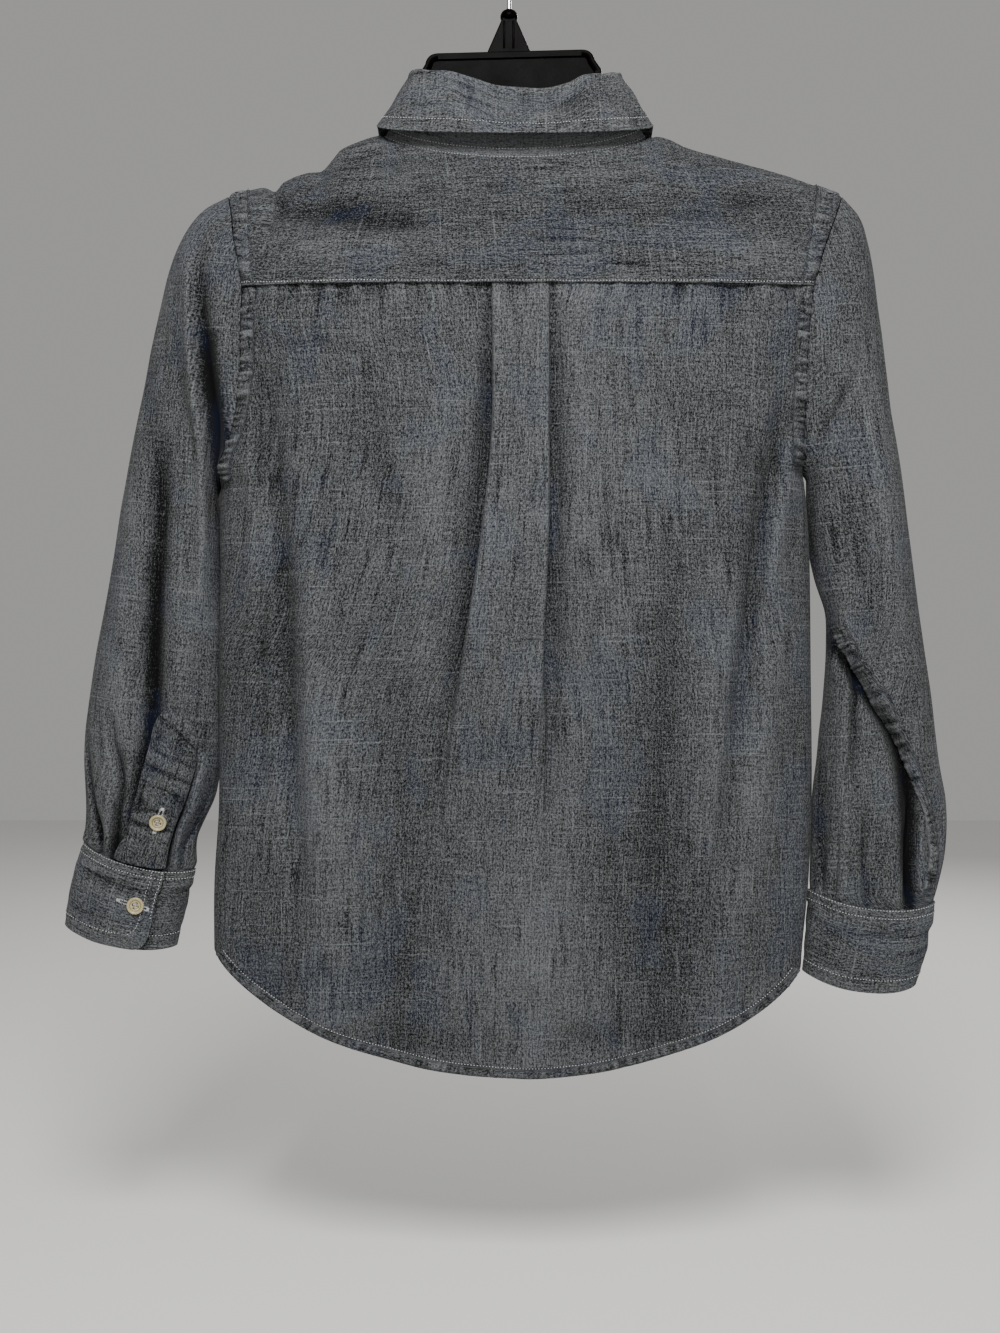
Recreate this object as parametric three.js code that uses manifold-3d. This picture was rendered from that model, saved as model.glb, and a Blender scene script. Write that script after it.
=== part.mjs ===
// A chambray shirt on a plastic hanger, in millimetres, +Z up.
// The shirt's back faces -Y, so its wearer's left is at -X. The origin is the inside top
// of the hanger's hook. Every piece of cloth is a wall built round its middle surface.
import * as THREE from 'three';
import { mergeVertices } from 'three/addons/utils/BufferGeometryUtils.js';
import Module from 'manifold-3d';

const wasm = await Module();
wasm.setup();

// ---- driving dimensions
const cloth = 1.2;
const seamGap = 0.8;
const armholeGap = 1.9;
const layerStep = cloth + 0.5;

const body = {
  yokeSeam: -259,
  sideFlatness: 3,
  backHem: { left: -681, right: -692, drop: 73 },
  frontHem: { left: -681, right: -692, drop: 66 },
  centre: 4,
};
const neck = {
  centre: 4,
  halfWidth: 87,
  backDepth: 22,
  frontDepth: 26,
  side: -156,
  backDrop: 20,
  frontDrop: 42,
};
const collar = {
  inset: 2.1,
  backHeight: 41,
  sideHeight: 37.5,
  frontHeight: 30,
  topHalfWidth: 64.5,
  squareness: 0.8,
  topBackDepth: 15,
  topFrontDepth: 19,
  overlap: 13,
  roll: 4,
  rollRows: 3,
  rows: 8,
  foldGap: 0.12,
  pointGap: 0.55,
  fallHalfWidth: 89.5,
  fallBackDepth: 42,
  fallFrontDepth: 42,
  edgeHeight: -148,
  fallBack: 16,
  fallFront: 84,
};
const buttonSize = { radius: 5.6, thickness: 2.2, hole: 0.95, holeSpacing: 1.75 };
const placketWidth = 30;

// ---- the body's edges: side folds up to the underarm, then the armholes
const underarm = { left: -383, right: -374 };
const shoulderPoint = { left: -195, right: -195 };
const armholeDepth = { back: 24, front: 20 };
const outline = [
  { z: -780, left: -190, right: 186 },
  { z: -690, left: -191, right: 189.5 },
  { z: -640, left: -191, right: 194 },
  { z: -588, left: -188, right: 196.2 },
  { z: -490, left: -188, right: 195.5 },
  { z: -440, left: -187, right: 195 },
  { z: -411, left: -187.5, right: 194 },
  { z: -383, left: -186.5, right: 191.5 },
  { z: -368, left: -185, right: 189 },
  { z: -355, left: -179, right: 188.5 },
  { z: -336, left: -174, right: 188.6 },
  { z: -315, left: -171, right: 188.8 },
  { z: -283, left: -170.3, right: 190.5 },
  { z: -258, left: -170, right: 193.5 },
  { z: -242, left: -172.5, right: 198 },
  { z: -226, left: -176, right: 203.5 },
  { z: -208, left: -178.5, right: 210.5 },
  { z: -194, left: -182, right: 216 },
];
const depths = [
  { z: -780, back: 27, front: 20 },
  { z: -690, back: 31, front: 23 },
  { z: -560, back: 34, front: 25 },
  { z: -400, back: 37, front: 27 },
  { z: -259, back: 36, front: 27 },
];

// ---- the ridge of the shoulders, dented on the left where the hanger's arm ends
const ridge = [
  { x: -190, z: -195 },
  { x: -182, z: -195 },
  { x: -168, z: -191.5 },
  { x: -156, z: -188.5 },
  { x: -150, z: -191.5 },
  { x: -145, z: -185.5 },
  { x: -132, z: -180.5 },
  { x: -121, z: -179 },
  { x: -114, z: -171.5 },
  { x: -109, z: -165.5 },
  { x: -97, z: -159.5 },
  { x: -82, z: -155.5 },
  { x: -50, z: -161 },
  { x: 4, z: -168 },
  { x: 58, z: -161 },
  { x: 90, z: -155.5 },
  { x: 104, z: -159.5 },
  { x: 115, z: -164.5 },
  { x: 142, z: -172 },
  { x: 163, z: -177 },
  { x: 192, z: -185 },
  { x: 216, z: -195 },
];

// ---- folds, each through three points (x, z), its height outwards and half width
const backFolds = [
  { x1: -163, z1: -376, x2: -158, z2: -405, x3: -161, z3: -450, height: 3.5, width: 7 },
  { x1: -146, z1: -385, x2: -147, z2: -420, x3: -146, z3: -462, height: -3, width: 7 },
  { x1: 173, z1: -350, x2: 163, z2: -392, x3: 150, z3: -445, height: -4.5, width: 6 },
  { x1: 181, z1: -362, x2: 173, z2: -405, x3: 163, z3: -452, height: 3, width: 7 },
  { x1: -12, z1: -345, x2: -27, z2: -430, x3: -39, z3: -555, height: -4.5, width: 6 },
  { x1: 28, z1: -268, x2: 31, z2: -400, x3: 26, z3: -525, height: -3.5, width: 5.5 },
  { x1: -118, z1: -470, x2: -122, z2: -590, x3: -112, z3: -738, height: 3.5, width: 24 },
  { x1: -66, z1: -540, x2: -64, z2: -650, x3: -72, z3: -748, height: -3, width: 18 },
  { x1: 88, z1: -500, x2: 96, z2: -620, x3: 92, z3: -750, height: -3.5, width: 20 },
  { x1: 132, z1: -470, x2: 138, z2: -600, x3: 130, z3: -735, height: 3, width: 18 },
  { x1: 20, z1: -560, x2: 24, z2: -660, x3: 18, z3: -762, height: 2.5, width: 22 },
];
const frontFolds = [
  { x1: -150, z1: -390, x2: -146, z2: -480, x3: -152, z3: -600, height: -3.5, width: 12 },
  { x1: -95, z1: -330, x2: -88, z2: -500, x3: -92, z3: -720, height: 3, width: 20 },
  { x1: 80, z1: -350, x2: 92, z2: -520, x3: 86, z3: -730, height: -3, width: 18 },
  { x1: 150, z1: -400, x2: 142, z2: -520, x3: 150, z3: -680, height: 3.5, width: 14 },
];

// ---- the box pleat under the yoke, fading towards the hem
const pleat = [
  { z: -780, left: -47, right: 14, rise: 0.2, side: 12 },
  { z: -640, left: -44, right: 15, rise: 0.8, side: 9 },
  { z: -560, left: -37, right: 17, rise: 2, side: 5 },
  { z: -490, left: -27.5, right: 20, rise: 3, side: 2 },
  { z: -410, left: -16, right: 24, rise: 3.2, side: 1.2 },
  { z: -346, left: -10.2, right: 24.2, rise: 3.2, side: 1.2 },
  { z: -258, left: -10.2, right: 24.2, rise: 3.2, side: 1.2 },
];

// ---- sleeves, from the armhole down: where the outer and inner edges of each ring are,
// the depth of its two faces and how far its middle stands behind the armhole's
const sleeves = {
  left: {
    rings: [
      { outerX: -182, outerZ: -195, innerX: -186.5, innerZ: -383, back: 24, front: 20, y: 0 },
      { outerX: -197, outerZ: -203, innerX: -189.5, innerZ: -389, back: 25, front: 22, y: 2 },
      { outerX: -211, outerZ: -217.5, innerX: -189.5, innerZ: -398, back: 26, front: 23, y: 6 },
      { outerX: -221.5, outerZ: -240, innerX: -188.5, innerZ: -408, back: 27, front: 23, y: 10 },
      { outerX: -228, outerZ: -266, innerX: -187.2, innerZ: -420, back: 27, front: 22, y: 13 },
      { outerX: -235, outerZ: -296, innerX: -186.3, innerZ: -434, back: 27, front: 21, y: 14 },
      { outerX: -241.5, outerZ: -328, innerX: -186, innerZ: -450, back: 27, front: 20, y: 14 },
      { outerX: -248.5, outerZ: -365, innerX: -186, innerZ: -470, back: 27, front: 20, y: 14 },
      { outerX: -255, outerZ: -403, innerX: -186, innerZ: -494, back: 27, front: 20, y: 14 },
      { outerX: -262, outerZ: -443, innerX: -186.5, innerZ: -520, back: 27, front: 20, y: 14 },
      { outerX: -269, outerZ: -484, innerX: -187.5, innerZ: -545, back: 26, front: 20, y: 13 },
      { outerX: -275, outerZ: -526, innerX: -190.5, innerZ: -570, back: 25, front: 20, y: 12 },
      { outerX: -277.5, outerZ: -560, innerX: -195, innerZ: -588, back: 24, front: 20, y: 11 },
      { outerX: -275.5, outerZ: -590, innerX: -202, innerZ: -603, back: 22, front: 19, y: 10 },
      { outerX: -274.5, outerZ: -604, innerX: -206, innerZ: -617, back: 20, front: 17, y: 9 },
      { outerX: -275.5, outerZ: -613, innerX: -207, innerZ: -630, back: 18, front: 15, y: 8 },
    ],
    folds: [
      { x1: -199, z1: -304, x2: -193, z2: -365, x3: -190, z3: -432, height: -9, width: 7 },
      { x1: -207, z1: -330, x2: -202, z2: -390, x3: -199, z3: -450, height: 4, width: 7 },
      { x1: -268, z1: -556, x2: -265, z2: -585, x3: -262, z3: -616, height: -3.5, width: 4.5 },
      { x1: -251, z1: -561, x2: -248, z2: -588, x3: -255, z3: -619, height: -3, width: 4.5 },
      { x1: -197, z1: -572, x2: -203, z2: -600, x3: -209, z3: -626, height: 3, width: 4.5 },
      { x1: -236, z1: -330, x2: -238, z2: -420, x3: -246, z3: -500, height: 3, width: 12 },
      { x1: -222, z1: -400, x2: -226, z2: -470, x3: -233, z3: -540, height: -3, width: 10 },
    ],
    cuff: [
      { outerX: -277, outerZ: -614, innerX: -206, innerZ: -632, back: 17, front: 14, y: 8 },
      { outerX: -281, outerZ: -625, innerX: -208, innerZ: -642, back: 18, front: 15, y: 7 },
      { outerX: -285.5, outerZ: -645, innerX: -212, innerZ: -658, back: 19, front: 16, y: 6 },
      { outerX: -288.5, outerZ: -666.5, innerX: -217.5, innerZ: -681, back: 19, front: 16, y: 5 },
    ],
    cuffSag: 5,
    placket: { left1: 0.56, right1: 0.84, left2: 0.37, right2: 0.72 },
  },
  right: {
    rings: [
      { outerX: 216, outerZ: -195, innerX: 191.3, innerZ: -374, back: 24, front: 20, y: 0 },
      { outerX: 227, outerZ: -207.5, innerX: 195.5, innerZ: -379, back: 25, front: 21, y: 1 },
      { outerX: 232.5, outerZ: -223, innerX: 197, innerZ: -386, back: 26, front: 22, y: 3 },
      { outerX: 237.5, outerZ: -247, innerX: 197.5, innerZ: -396, back: 26, front: 22, y: 5 },
      { outerX: 241, outerZ: -273, innerX: 198, innerZ: -408, back: 26, front: 22, y: 6 },
      { outerX: 244.5, outerZ: -299, innerX: 199, innerZ: -424, back: 26, front: 21, y: 6 },
      { outerX: 248, outerZ: -330, innerX: 203, innerZ: -442, back: 26, front: 20, y: 6 },
      { outerX: 253, outerZ: -362, innerX: 208, innerZ: -462, back: 25, front: 20, y: 6 },
      { outerX: 258, outerZ: -397, innerX: 208, innerZ: -481, back: 25, front: 20, y: 6 },
      { outerX: 263.5, outerZ: -438, innerX: 207.5, innerZ: -503, back: 25, front: 20, y: 6 },
      { outerX: 269.5, outerZ: -482, innerX: 205.5, innerZ: -526, back: 24, front: 20, y: 6 },
      { outerX: 275, outerZ: -523, innerX: 203, innerZ: -550, back: 24, front: 20, y: 6 },
      { outerX: 279, outerZ: -560, innerX: 200.5, innerZ: -577, back: 23, front: 20, y: 7 },
      { outerX: 284.5, outerZ: -590, innerX: 199, innerZ: -600, back: 22, front: 19, y: 7 },
      { outerX: 284.5, outerZ: -618, innerX: 198, innerZ: -622, back: 20, front: 17, y: 7 },
      { outerX: 277.5, outerZ: -650, innerX: 197.5, innerZ: -644, back: 18, front: 15, y: 7 },
    ],
    folds: [
      { x1: 196, z1: -380, x2: 199, z2: -400, x3: 203, z3: -424, height: -7, width: 6 },
      { x1: 205, z1: -482, x2: 225, z2: -520, x3: 246, z3: -560, height: -5, width: 7 },
      { x1: 246, z1: -560, x2: 257, z2: -592, x3: 261, z3: -640, height: -5, width: 6 },
      { x1: 222, z1: -490, x2: 247, z2: -532, x3: 268, z3: -580, height: 3, width: 7 },
      { x1: 214, z1: -540, x2: 213, z2: -590, x3: 215, z3: -640, height: 2.5, width: 8 },
      { x1: 236, z1: -330, x2: 240, z2: -400, x3: 250, z3: -470, height: 3, width: 12 },
      { x1: 222, z1: -380, x2: 226, z2: -430, x3: 236, z3: -490, height: -2.5, width: 9 },
    ],
    cuff: [
      { outerX: 277.5, outerZ: -652.5, innerX: 196.5, innerZ: -645, back: 17, front: 14, y: 7 },
      { outerX: 275.5, outerZ: -665, innerX: 195.5, innerZ: -657, back: 18, front: 15, y: 6 },
      { outerX: 271, outerZ: -685, innerX: 194.2, innerZ: -677, back: 19, front: 16, y: 5 },
      { outerX: 264.5, outerZ: -705, innerX: 192.5, innerZ: -698, back: 19, front: 16, y: 5 },
    ],
    cuffSag: 7,
    placket: { left1: 0.56, right1: 0.84, left2: 0.37, right2: 0.72 },
  },
};

// ---- small helpers
const lerp = THREE.MathUtils.lerp;
const clamp = THREE.MathUtils.clamp;
const half = Math.PI / 2;

// The value of a column at a place between a table's rows, smoothly joined.
function smooth(table, key, column, at) {
  const last = table.length - 1;
  const place = clamp(at, table[0][key], table[last][key]);
  let i = 0;
  while (i < last - 1 && place > table[i + 1][key]) {
    i += 1;
  }
  const slope = (j) => {
    const before = table[Math.max(j - 1, 0)];
    const after = table[Math.min(j + 1, last)];
    return (after[column] - before[column]) / (after[key] - before[key]);
  };
  const span = table[i + 1][key] - table[i][key];
  const t = (place - table[i][key]) / span;
  const t2 = t * t;
  const t3 = t2 * t;
  const start = (2 * t3 - 3 * t2 + 1) * table[i][column] + (t3 - 2 * t2 + t) * span * slope(i);
  const end = (3 * t2 - 2 * t3) * table[i + 1][column] + (t3 - t2) * span * slope(i + 1);
  return start + end;
}

// A power that keeps the sign, for rounded-square sections.
function bend(value, power) {
  return Math.sign(value) * Math.abs(value) ** power;
}

// How far the folds lift the cloth at a place.
function relief(folds, x, z) {
  let lift = 0;
  for (const f of folds) {
    const along = (z - f.z1) / (f.z3 - f.z1);
    if (along < -0.15 || along > 1.15) {
      continue;
    }
    const middle = (f.z2 - f.z1) / (f.z3 - f.z1);
    const first = [{ k: 0, x: f.x1 }, { k: middle, x: f.x2 }, { k: 1, x: f.x3 }];
    const across = (x - smooth(first, 'k', 'x', along)) / f.width;
    const fade = Math.sin(Math.PI * clamp((along + 0.15) / 1.3, 0, 1)) ** 0.7;
    lift += f.height * fade * Math.exp(-across * across);
  }
  return lift;
}

// ---- turning a grid of points on a middle surface into a closed wall
function wall(grid, closed = false, thickness = cloth) {
  const rows = grid.length;
  const columns = grid[0].length;
  const pick = (i, j) => grid[i][closed ? (j + columns) % columns : clamp(j, 0, columns - 1)];
  const positions = [];
  const across = new THREE.Vector3();
  const down = new THREE.Vector3();
  const normal = new THREE.Vector3();
  for (const side of [0.5, -0.5]) {
    for (let i = 0; i < rows; i += 1) {
      for (let j = 0; j < columns; j += 1) {
        across.subVectors(pick(i, j + 1), pick(i, j - 1));
        down.subVectors(pick(Math.min(i + 1, rows - 1), j), pick(Math.max(i - 1, 0), j));
        normal.crossVectors(across, down).normalize();
        const p = grid[i][j].clone().addScaledVector(normal, side * thickness);
        positions.push(p.x, p.y, p.z);
      }
    }
  }
  const at = (layer, i, j) => layer * rows * columns + i * columns + (j % columns);
  const index = [];
  const point = (n) => new THREE.Vector3().fromArray(positions, n * 3);
  // each four-sided cell is cut along its shorter diagonal
  const quad = (a, b, c, d) => {
    if (point(a).distanceTo(point(c)) <= point(b).distanceTo(point(d))) {
      index.push(a, b, c, a, c, d);
    } else {
      index.push(a, b, d, b, c, d);
    }
  };
  const spans = closed ? columns : columns - 1;
  for (let i = 0; i < rows - 1; i += 1) {
    for (let j = 0; j < spans; j += 1) {
      quad(at(0, i, j), at(0, i, j + 1), at(0, i + 1, j + 1), at(0, i + 1, j));
      quad(at(1, i, j), at(1, i + 1, j), at(1, i + 1, j + 1), at(1, i, j + 1));
    }
  }
  for (let j = 0; j < spans; j += 1) {
    quad(at(0, 0, j), at(1, 0, j), at(1, 0, j + 1), at(0, 0, j + 1));
    quad(at(0, rows - 1, j), at(0, rows - 1, j + 1), at(1, rows - 1, j + 1), at(1, rows - 1, j));
  }
  for (let i = 0; i < rows - 1 && !closed; i += 1) {
    quad(at(0, i, 0), at(0, i + 1, 0), at(1, i + 1, 0), at(1, i, 0));
    quad(at(0, i, columns - 1), at(1, i, columns - 1), at(1, i + 1, columns - 1),
      at(0, i + 1, columns - 1));
  }
  const geometry = new THREE.BufferGeometry();
  geometry.setAttribute('position', new THREE.Float32BufferAttribute(positions, 3));
  geometry.setIndex(facingOut(positions, index));
  return geometry;
}

// The triangles, turned round if they face inwards.
function facingOut(positions, index) {
  let volume = 0;
  const corner = (n) => new THREE.Vector3().fromArray(positions, index[n] * 3);
  for (let n = 0; n < index.length; n += 3) {
    volume += corner(n).dot(corner(n + 1).cross(corner(n + 2)));
  }
  return volume < 0 ? index.reverse() : index;
}

function makeGrid(rows, columns, point) {
  const grid = [];
  for (let i = 0; i < rows; i += 1) {
    const row = [];
    for (let j = 0; j < columns; j += 1) {
      row.push(point(i / (rows - 1), j / (columns - 1), i, j));
    }
    grid.push(row);
  }
  return grid;
}

const shirt = new THREE.Group();

function add(name, geometry, look) {
  const mesh = new THREE.Mesh(geometry, new THREE.MeshStandardMaterial({ ...look, name }));
  mesh.name = name;
  shirt.add(mesh);
  return mesh;
}

const chambray = { color: 0x55585f, roughness: 0.9, metalness: 0 };
const plastic = { color: 0x241d19, roughness: 0.35, metalness: 0 };
const steel = { color: 0xb8b8b8, roughness: 0.25, metalness: 1 };
const ivory = { color: 0xcfc4a6, roughness: 0.4, metalness: 0 };

// ---- the armholes: an upright loop on each side, turn 0 at the shoulder point,
// positive down the back and pi at the underarm
function armhole(side, turn, outwards) {
  const top = shoulderPoint[side];
  const middle = (top + underarm[side]) / 2;
  const z = middle + (top - middle) * Math.cos(turn);
  const sine = Math.sin(turn);
  const y = sine > 0 ? -armholeDepth.back * sine : -armholeDepth.front * sine;
  const sign = side === 'left' ? -1 : 1;
  const x = smooth(outline, 'z', side, z) + sign * outwards;
  return new THREE.Vector3(x, y, z);
}

// The edge of the front or back at a height: a side fold, or the armhole above it.
function bodyEdge(side, face, z) {
  const sign = side === 'left' ? -1 : 1;
  if (z <= underarm[side]) {
    return { x: smooth(outline, 'z', side, z), y: face * seamGap / 2 };
  }
  const middle = (shoulderPoint[side] + underarm[side]) / 2;
  const reach = shoulderPoint[side] - middle;
  const turn = Math.acos(clamp((z - middle) / reach, -1, 1));
  const depth = face < 0 ? armholeDepth.back : armholeDepth.front;
  const y = face * Math.max(depth * Math.sin(turn), seamGap / 2);
  return { x: smooth(outline, 'z', side, z) - sign * armholeGap / 2, y };
}

// The rounded section of the body: how far the cloth stands out at a place.
function bodyDepth(face, x, z) {
  const left = bodyEdge('left', face, z);
  const right = bodyEdge('right', face, z);
  const middle = (left.x + right.x) / 2;
  const c = clamp((x - middle) / ((right.x - left.x) / 2), -1, 1);
  const depth = face * smooth(depths, 'z', face < 0 ? 'back' : 'front', z);
  const edge = lerp(left.y, right.y, (c + 1) / 2);
  const fullness = Math.sqrt(1 - Math.abs(c) ** body.sideFlatness);
  return edge + (depth - edge) * fullness;
}

function hemHeight(hem, x) {
  const middle = (outline[1].left + outline[1].right) / 2;
  const c = clamp((x - middle) / ((outline[1].right - outline[1].left) / 2), -1, 1);
  return lerp(hem.left, hem.right, (c + 1) / 2) - hem.drop * (1 - c * c) ** 0.75;
}

// ---- the back, gathered into its box pleat
function pleatStations(z) {
  const left = smooth(pleat, 'z', 'left', z);
  const right = smooth(pleat, 'z', 'right', z);
  const rise = smooth(pleat, 'z', 'rise', z);
  const side = smooth(pleat, 'z', 'side', z);
  return [
    { x: left - side - 6, lift: 0 },
    { x: left - side, lift: 0 },
    { x: left, lift: rise * 0.8 },
    { x: left + side + 1, lift: rise },
    { x: (left * 2 + right) / 3, lift: rise },
    { x: (left + right * 2) / 3, lift: rise },
    { x: right - side - 1, lift: rise },
    { x: right, lift: rise * 0.8 },
    { x: right + side, lift: 0 },
    { x: right + side + 6, lift: 0 },
  ];
}

function backPanel() {
  const sideColumns = 11;
  const rows = 20;
  const pleatColumns = pleatStations(-259).length;
  const columns = sideColumns * 2 + pleatColumns;
  return makeGrid(rows, columns, (v, u, i, j) => {
    let x = 0;
    let lift = 0;
    let z = 0;
    let share = 0;
    // the height depends on the place across, and the place across on the height
    for (let pass = 0; pass < 3; pass += 1) {
      z = lerp(hemHeight(body.backHem, x), body.yokeSeam - seamGap / 2, v);
      const stations = pleatStations(z);
      const left = bodyEdge('left', -1, z).x;
      const right = bodyEdge('right', -1, z).x;
      if (j < sideColumns) {
        share = j / sideColumns;
        x = lerp(left, stations[0].x, share * share);
        lift = 0;
      } else if (j >= columns - sideColumns) {
        share = (columns - 1 - j) / sideColumns;
        x = lerp(right, stations[pleatColumns - 1].x, share * share);
        lift = 0;
      } else {
        x = stations[j - sideColumns].x;
        lift = stations[j - sideColumns].lift;
      }
    }
    const lifted = lift + relief(backFolds, x, z);
    return new THREE.Vector3(x, bodyDepth(-1, x, z) - lifted, z);
  });
}

// ---- the neck seam, an upright oval: turn 0 at +X, a quarter turn at the back
function neckPoint(turn) {
  const sine = Math.sin(turn);
  const depth = sine > 0 ? neck.backDepth : neck.frontDepth;
  const drop = sine > 0 ? neck.backDrop : neck.frontDrop;
  const x = neck.centre + neck.halfWidth * Math.cos(turn);
  const z = neck.side - drop * Math.abs(sine) ** 1.3;
  return new THREE.Vector3(x, -depth * sine, z);
}

// ---- the shoulders: above the yoke seam both faces lean in to the ridge
const shoulderPower = 1.6;
const armholeTurn = -0.62;
const neckTurn = 0.42;
const neckShare = 0.2;

function shoulderPoint3(x, turn) {
  const top = smooth(ridge, 'x', 'z', x);
  const reach = bodyDepth(turn < half ? -1 : 1, x, body.yokeSeam);
  const y = reach * Math.abs(Math.cos(turn)) ** (2 / shoulderPower);
  const rise = (top - body.yokeSeam) * Math.max(Math.sin(turn), 0) ** (2 / shoulderPower);
  return new THREE.Vector3(x, y, body.yokeSeam + rise);
}

function bodyFace(face, x, z) {
  if (z <= body.yokeSeam) {
    return bodyDepth(face, x, z);
  }
  const top = smooth(ridge, 'x', 'z', x);
  const share = clamp((z - body.yokeSeam) / (top - body.yokeSeam), 0, 1);
  return bodyDepth(face, x, body.yokeSeam) * (1 - share ** shoulderPower) ** (1 / shoulderPower);
}

function turnAtDepth(x, y) {
  const reach = Math.abs(bodyDepth(Math.sign(y), x, body.yokeSeam));
  const cosine = clamp(Math.abs(y) / reach, 0, 1) ** (shoulderPower / 2);
  return y < 0 ? Math.acos(cosine) : Math.PI - Math.acos(cosine);
}

// A place on the forward shoulder seam, share 0 at the armhole and 1 at the neck.
function forwardSeam(side, share) {
  const start = armhole(side, armholeTurn, -armholeGap / 2);
  const end = neckPoint(side === 'left' ? Math.PI + neckTurn : -neckTurn);
  const seam = start.clone().lerp(end, share);
  const startMiss = start.y - bodyFace(1, start.x, start.z);
  const endMiss = end.y - bodyFace(1, end.x, end.z);
  seam.y = bodyFace(1, seam.x, seam.z) + lerp(startMiss, endMiss, share);
  return seam;
}

function yokeTop(share) {
  if (share < neckShare) {
    return forwardSeam('left', share / neckShare);
  }
  if (share > 1 - neckShare) {
    return forwardSeam('right', (1 - share) / neckShare);
  }
  const around = (share - neckShare) / (1 - 2 * neckShare);
  return neckPoint(lerp(Math.PI + neckTurn, -neckTurn, around));
}

function yokeEdge(side, v) {
  const middle = (shoulderPoint[side] + underarm[side]) / 2;
  const start = Math.acos((body.yokeSeam + seamGap / 2 - middle) / (shoulderPoint[side] - middle));
  return armhole(side, lerp(start, armholeTurn, v), -armholeGap / 2);
}

function yokePoint(share, v) {
  const left = yokeEdge('left', 0);
  const right = yokeEdge('right', 0);
  const end = yokeTop(share);
  const endTurn = turnAtDepth(end.x, end.y);
  const miss = end.clone().sub(shoulderPoint3(end.x, endTurn));
  const x = lerp(lerp(left.x, right.x, share), end.x, v * v);
  const point = shoulderPoint3(x, endTurn * v);
  point.z += seamGap / 2 * (1 - v);
  return point.addScaledVector(miss, v ** 3);
}

function yokePanel() {
  const reach = 0.1;
  const columns = 45;
  const rows = 9;
  const spread = [{ u: 0, share: 0 }, { u: 0.3, share: neckShare }, { u: 0.5, share: 0.5 },
    { u: 0.7, share: 1 - neckShare }, { u: 1, share: 1 }];
  return makeGrid(rows, columns, (v, u) => {
    const share = smooth(spread, 'u', 'share', u);
    const point = yokePoint(share, v);
    const leftPull = Math.max(0, 1 - share / reach) ** 2;
    const rightPull = Math.max(0, 1 - (1 - share) / reach) ** 2;
    point.addScaledVector(yokeEdge('left', v).sub(yokePoint(0, v)), leftPull);
    point.addScaledVector(yokeEdge('right', v).sub(yokePoint(1, v)), rightPull);
    return point;
  });
}

// ---- the fronts, the left one lapping over the right
function frontTop(side, x) {
  const start = armhole(side, armholeTurn, -armholeGap / 2);
  const end = neckPoint(side === 'left' ? Math.PI + neckTurn : -neckTurn);
  const share = (x - start.x) / (end.x - start.x);
  let point = null;
  if (share < 1) {
    point = forwardSeam(side, Math.max(share, 0));
  } else {
    point = neckPoint(-Math.acos(clamp((x - neck.centre) / neck.halfWidth, -1, 1)));
  }
  point.z -= seamGap;
  return point;
}

function frontPoint(side, x, z, top) {
  const fade = clamp(1 - (top.z - z) / 70, 0, 1) ** 2;
  const y = bodyFace(1, x, z) + relief(frontFolds, x, z) * (1 - fade);
  const miss = top.y - bodyFace(1, top.x, top.z);
  return new THREE.Vector3(x, y + miss * fade, z);
}

// The left front rises over the right one a little before their lap begins.
const lapRamp = { start: 32, length: 18 };

function lapStep(x) {
  const ramp = clamp((x - (body.centre - placketWidth / 2 - lapRamp.start)) / lapRamp.length, 0, 1);
  return layerStep * ramp * ramp * (3 - 2 * ramp);
}

function frontPanel(side) {
  const columns = 16;
  const rows = 20;
  const sign = side === 'left' ? -1 : 1;
  const centreEdge = body.centre - sign * placketWidth / 2;
  const reach = 24;
  return makeGrid(rows, columns, (v, u) => {
    let x = lerp(outline[1][side], centreEdge, u);
    let z = 0;
    let top = null;
    for (let pass = 0; pass < 4; pass += 1) {
      top = frontTop(side, x);
      z = lerp(hemHeight(body.frontHem, x), top.z, v);
      x = lerp(bodyEdge(side, 1, z).x, centreEdge, u ** 1.6);
    }
    const point = frontPoint(side, x, z, top);
    if (z > underarm[side]) {
      const edge = bodyEdge(side, 1, z);
      const pull = Math.max(0, 1 - Math.abs(x - edge.x) / reach) ** 2;
      point.y += (edge.y - bodyFace(1, edge.x, z)) * pull;
    }
    point.y += side === 'left' ? lapStep(x) : 0;
    return point;
  });
}

function frontPlacket() {
  return makeGrid(20, 4, (v, u) => {
    const x = body.centre + (0.5 - u) * (placketWidth - 1);
    const top = frontTop('left', x);
    const z = lerp(hemHeight(body.frontHem, x), top.z, v);
    const point = frontPoint('left', x, z, top);
    point.y += lapStep(x) + layerStep + 0.4;
    return point;
  });
}

// ---- the collar: a stand that laps at the front, and a leaf that falls over it
function standPoint(turn, v) {
  const inset = new THREE.Vector3(-Math.cos(turn), Math.sin(turn), 0).multiplyScalar(collar.inset);
  const foot = neckPoint(turn).add(inset);
  const sine = Math.sin(turn);
  const depth = sine > 0 ? collar.topBackDepth : collar.topFrontDepth;
  const height = sine > 0
    ? lerp(collar.sideHeight, collar.backHeight, sine)
    : lerp(collar.sideHeight, collar.frontHeight, -sine);
  const topX = neck.centre + collar.topHalfWidth * bend(Math.cos(turn), collar.squareness);
  return new THREE.Vector3(
    lerp(foot.x, topX, v),
    lerp(foot.y, -depth * bend(sine, collar.squareness), v),
    foot.z + seamGap + height * v,
  );
}

function collarStand() {
  const lap = Math.asin(collar.overlap / neck.halfWidth);
  const start = -half - lap;
  const end = 1.5 * Math.PI + lap;
  const grid = makeGrid(3, 41, (v, u) => {
    const turn = lerp(start, end, u);
    const point = standPoint(turn, v);
    point.y += layerStep * clamp((turn - end + 3 * lap) / lap, 0, 1);
    return point;
  });
  return grid;
}

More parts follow.
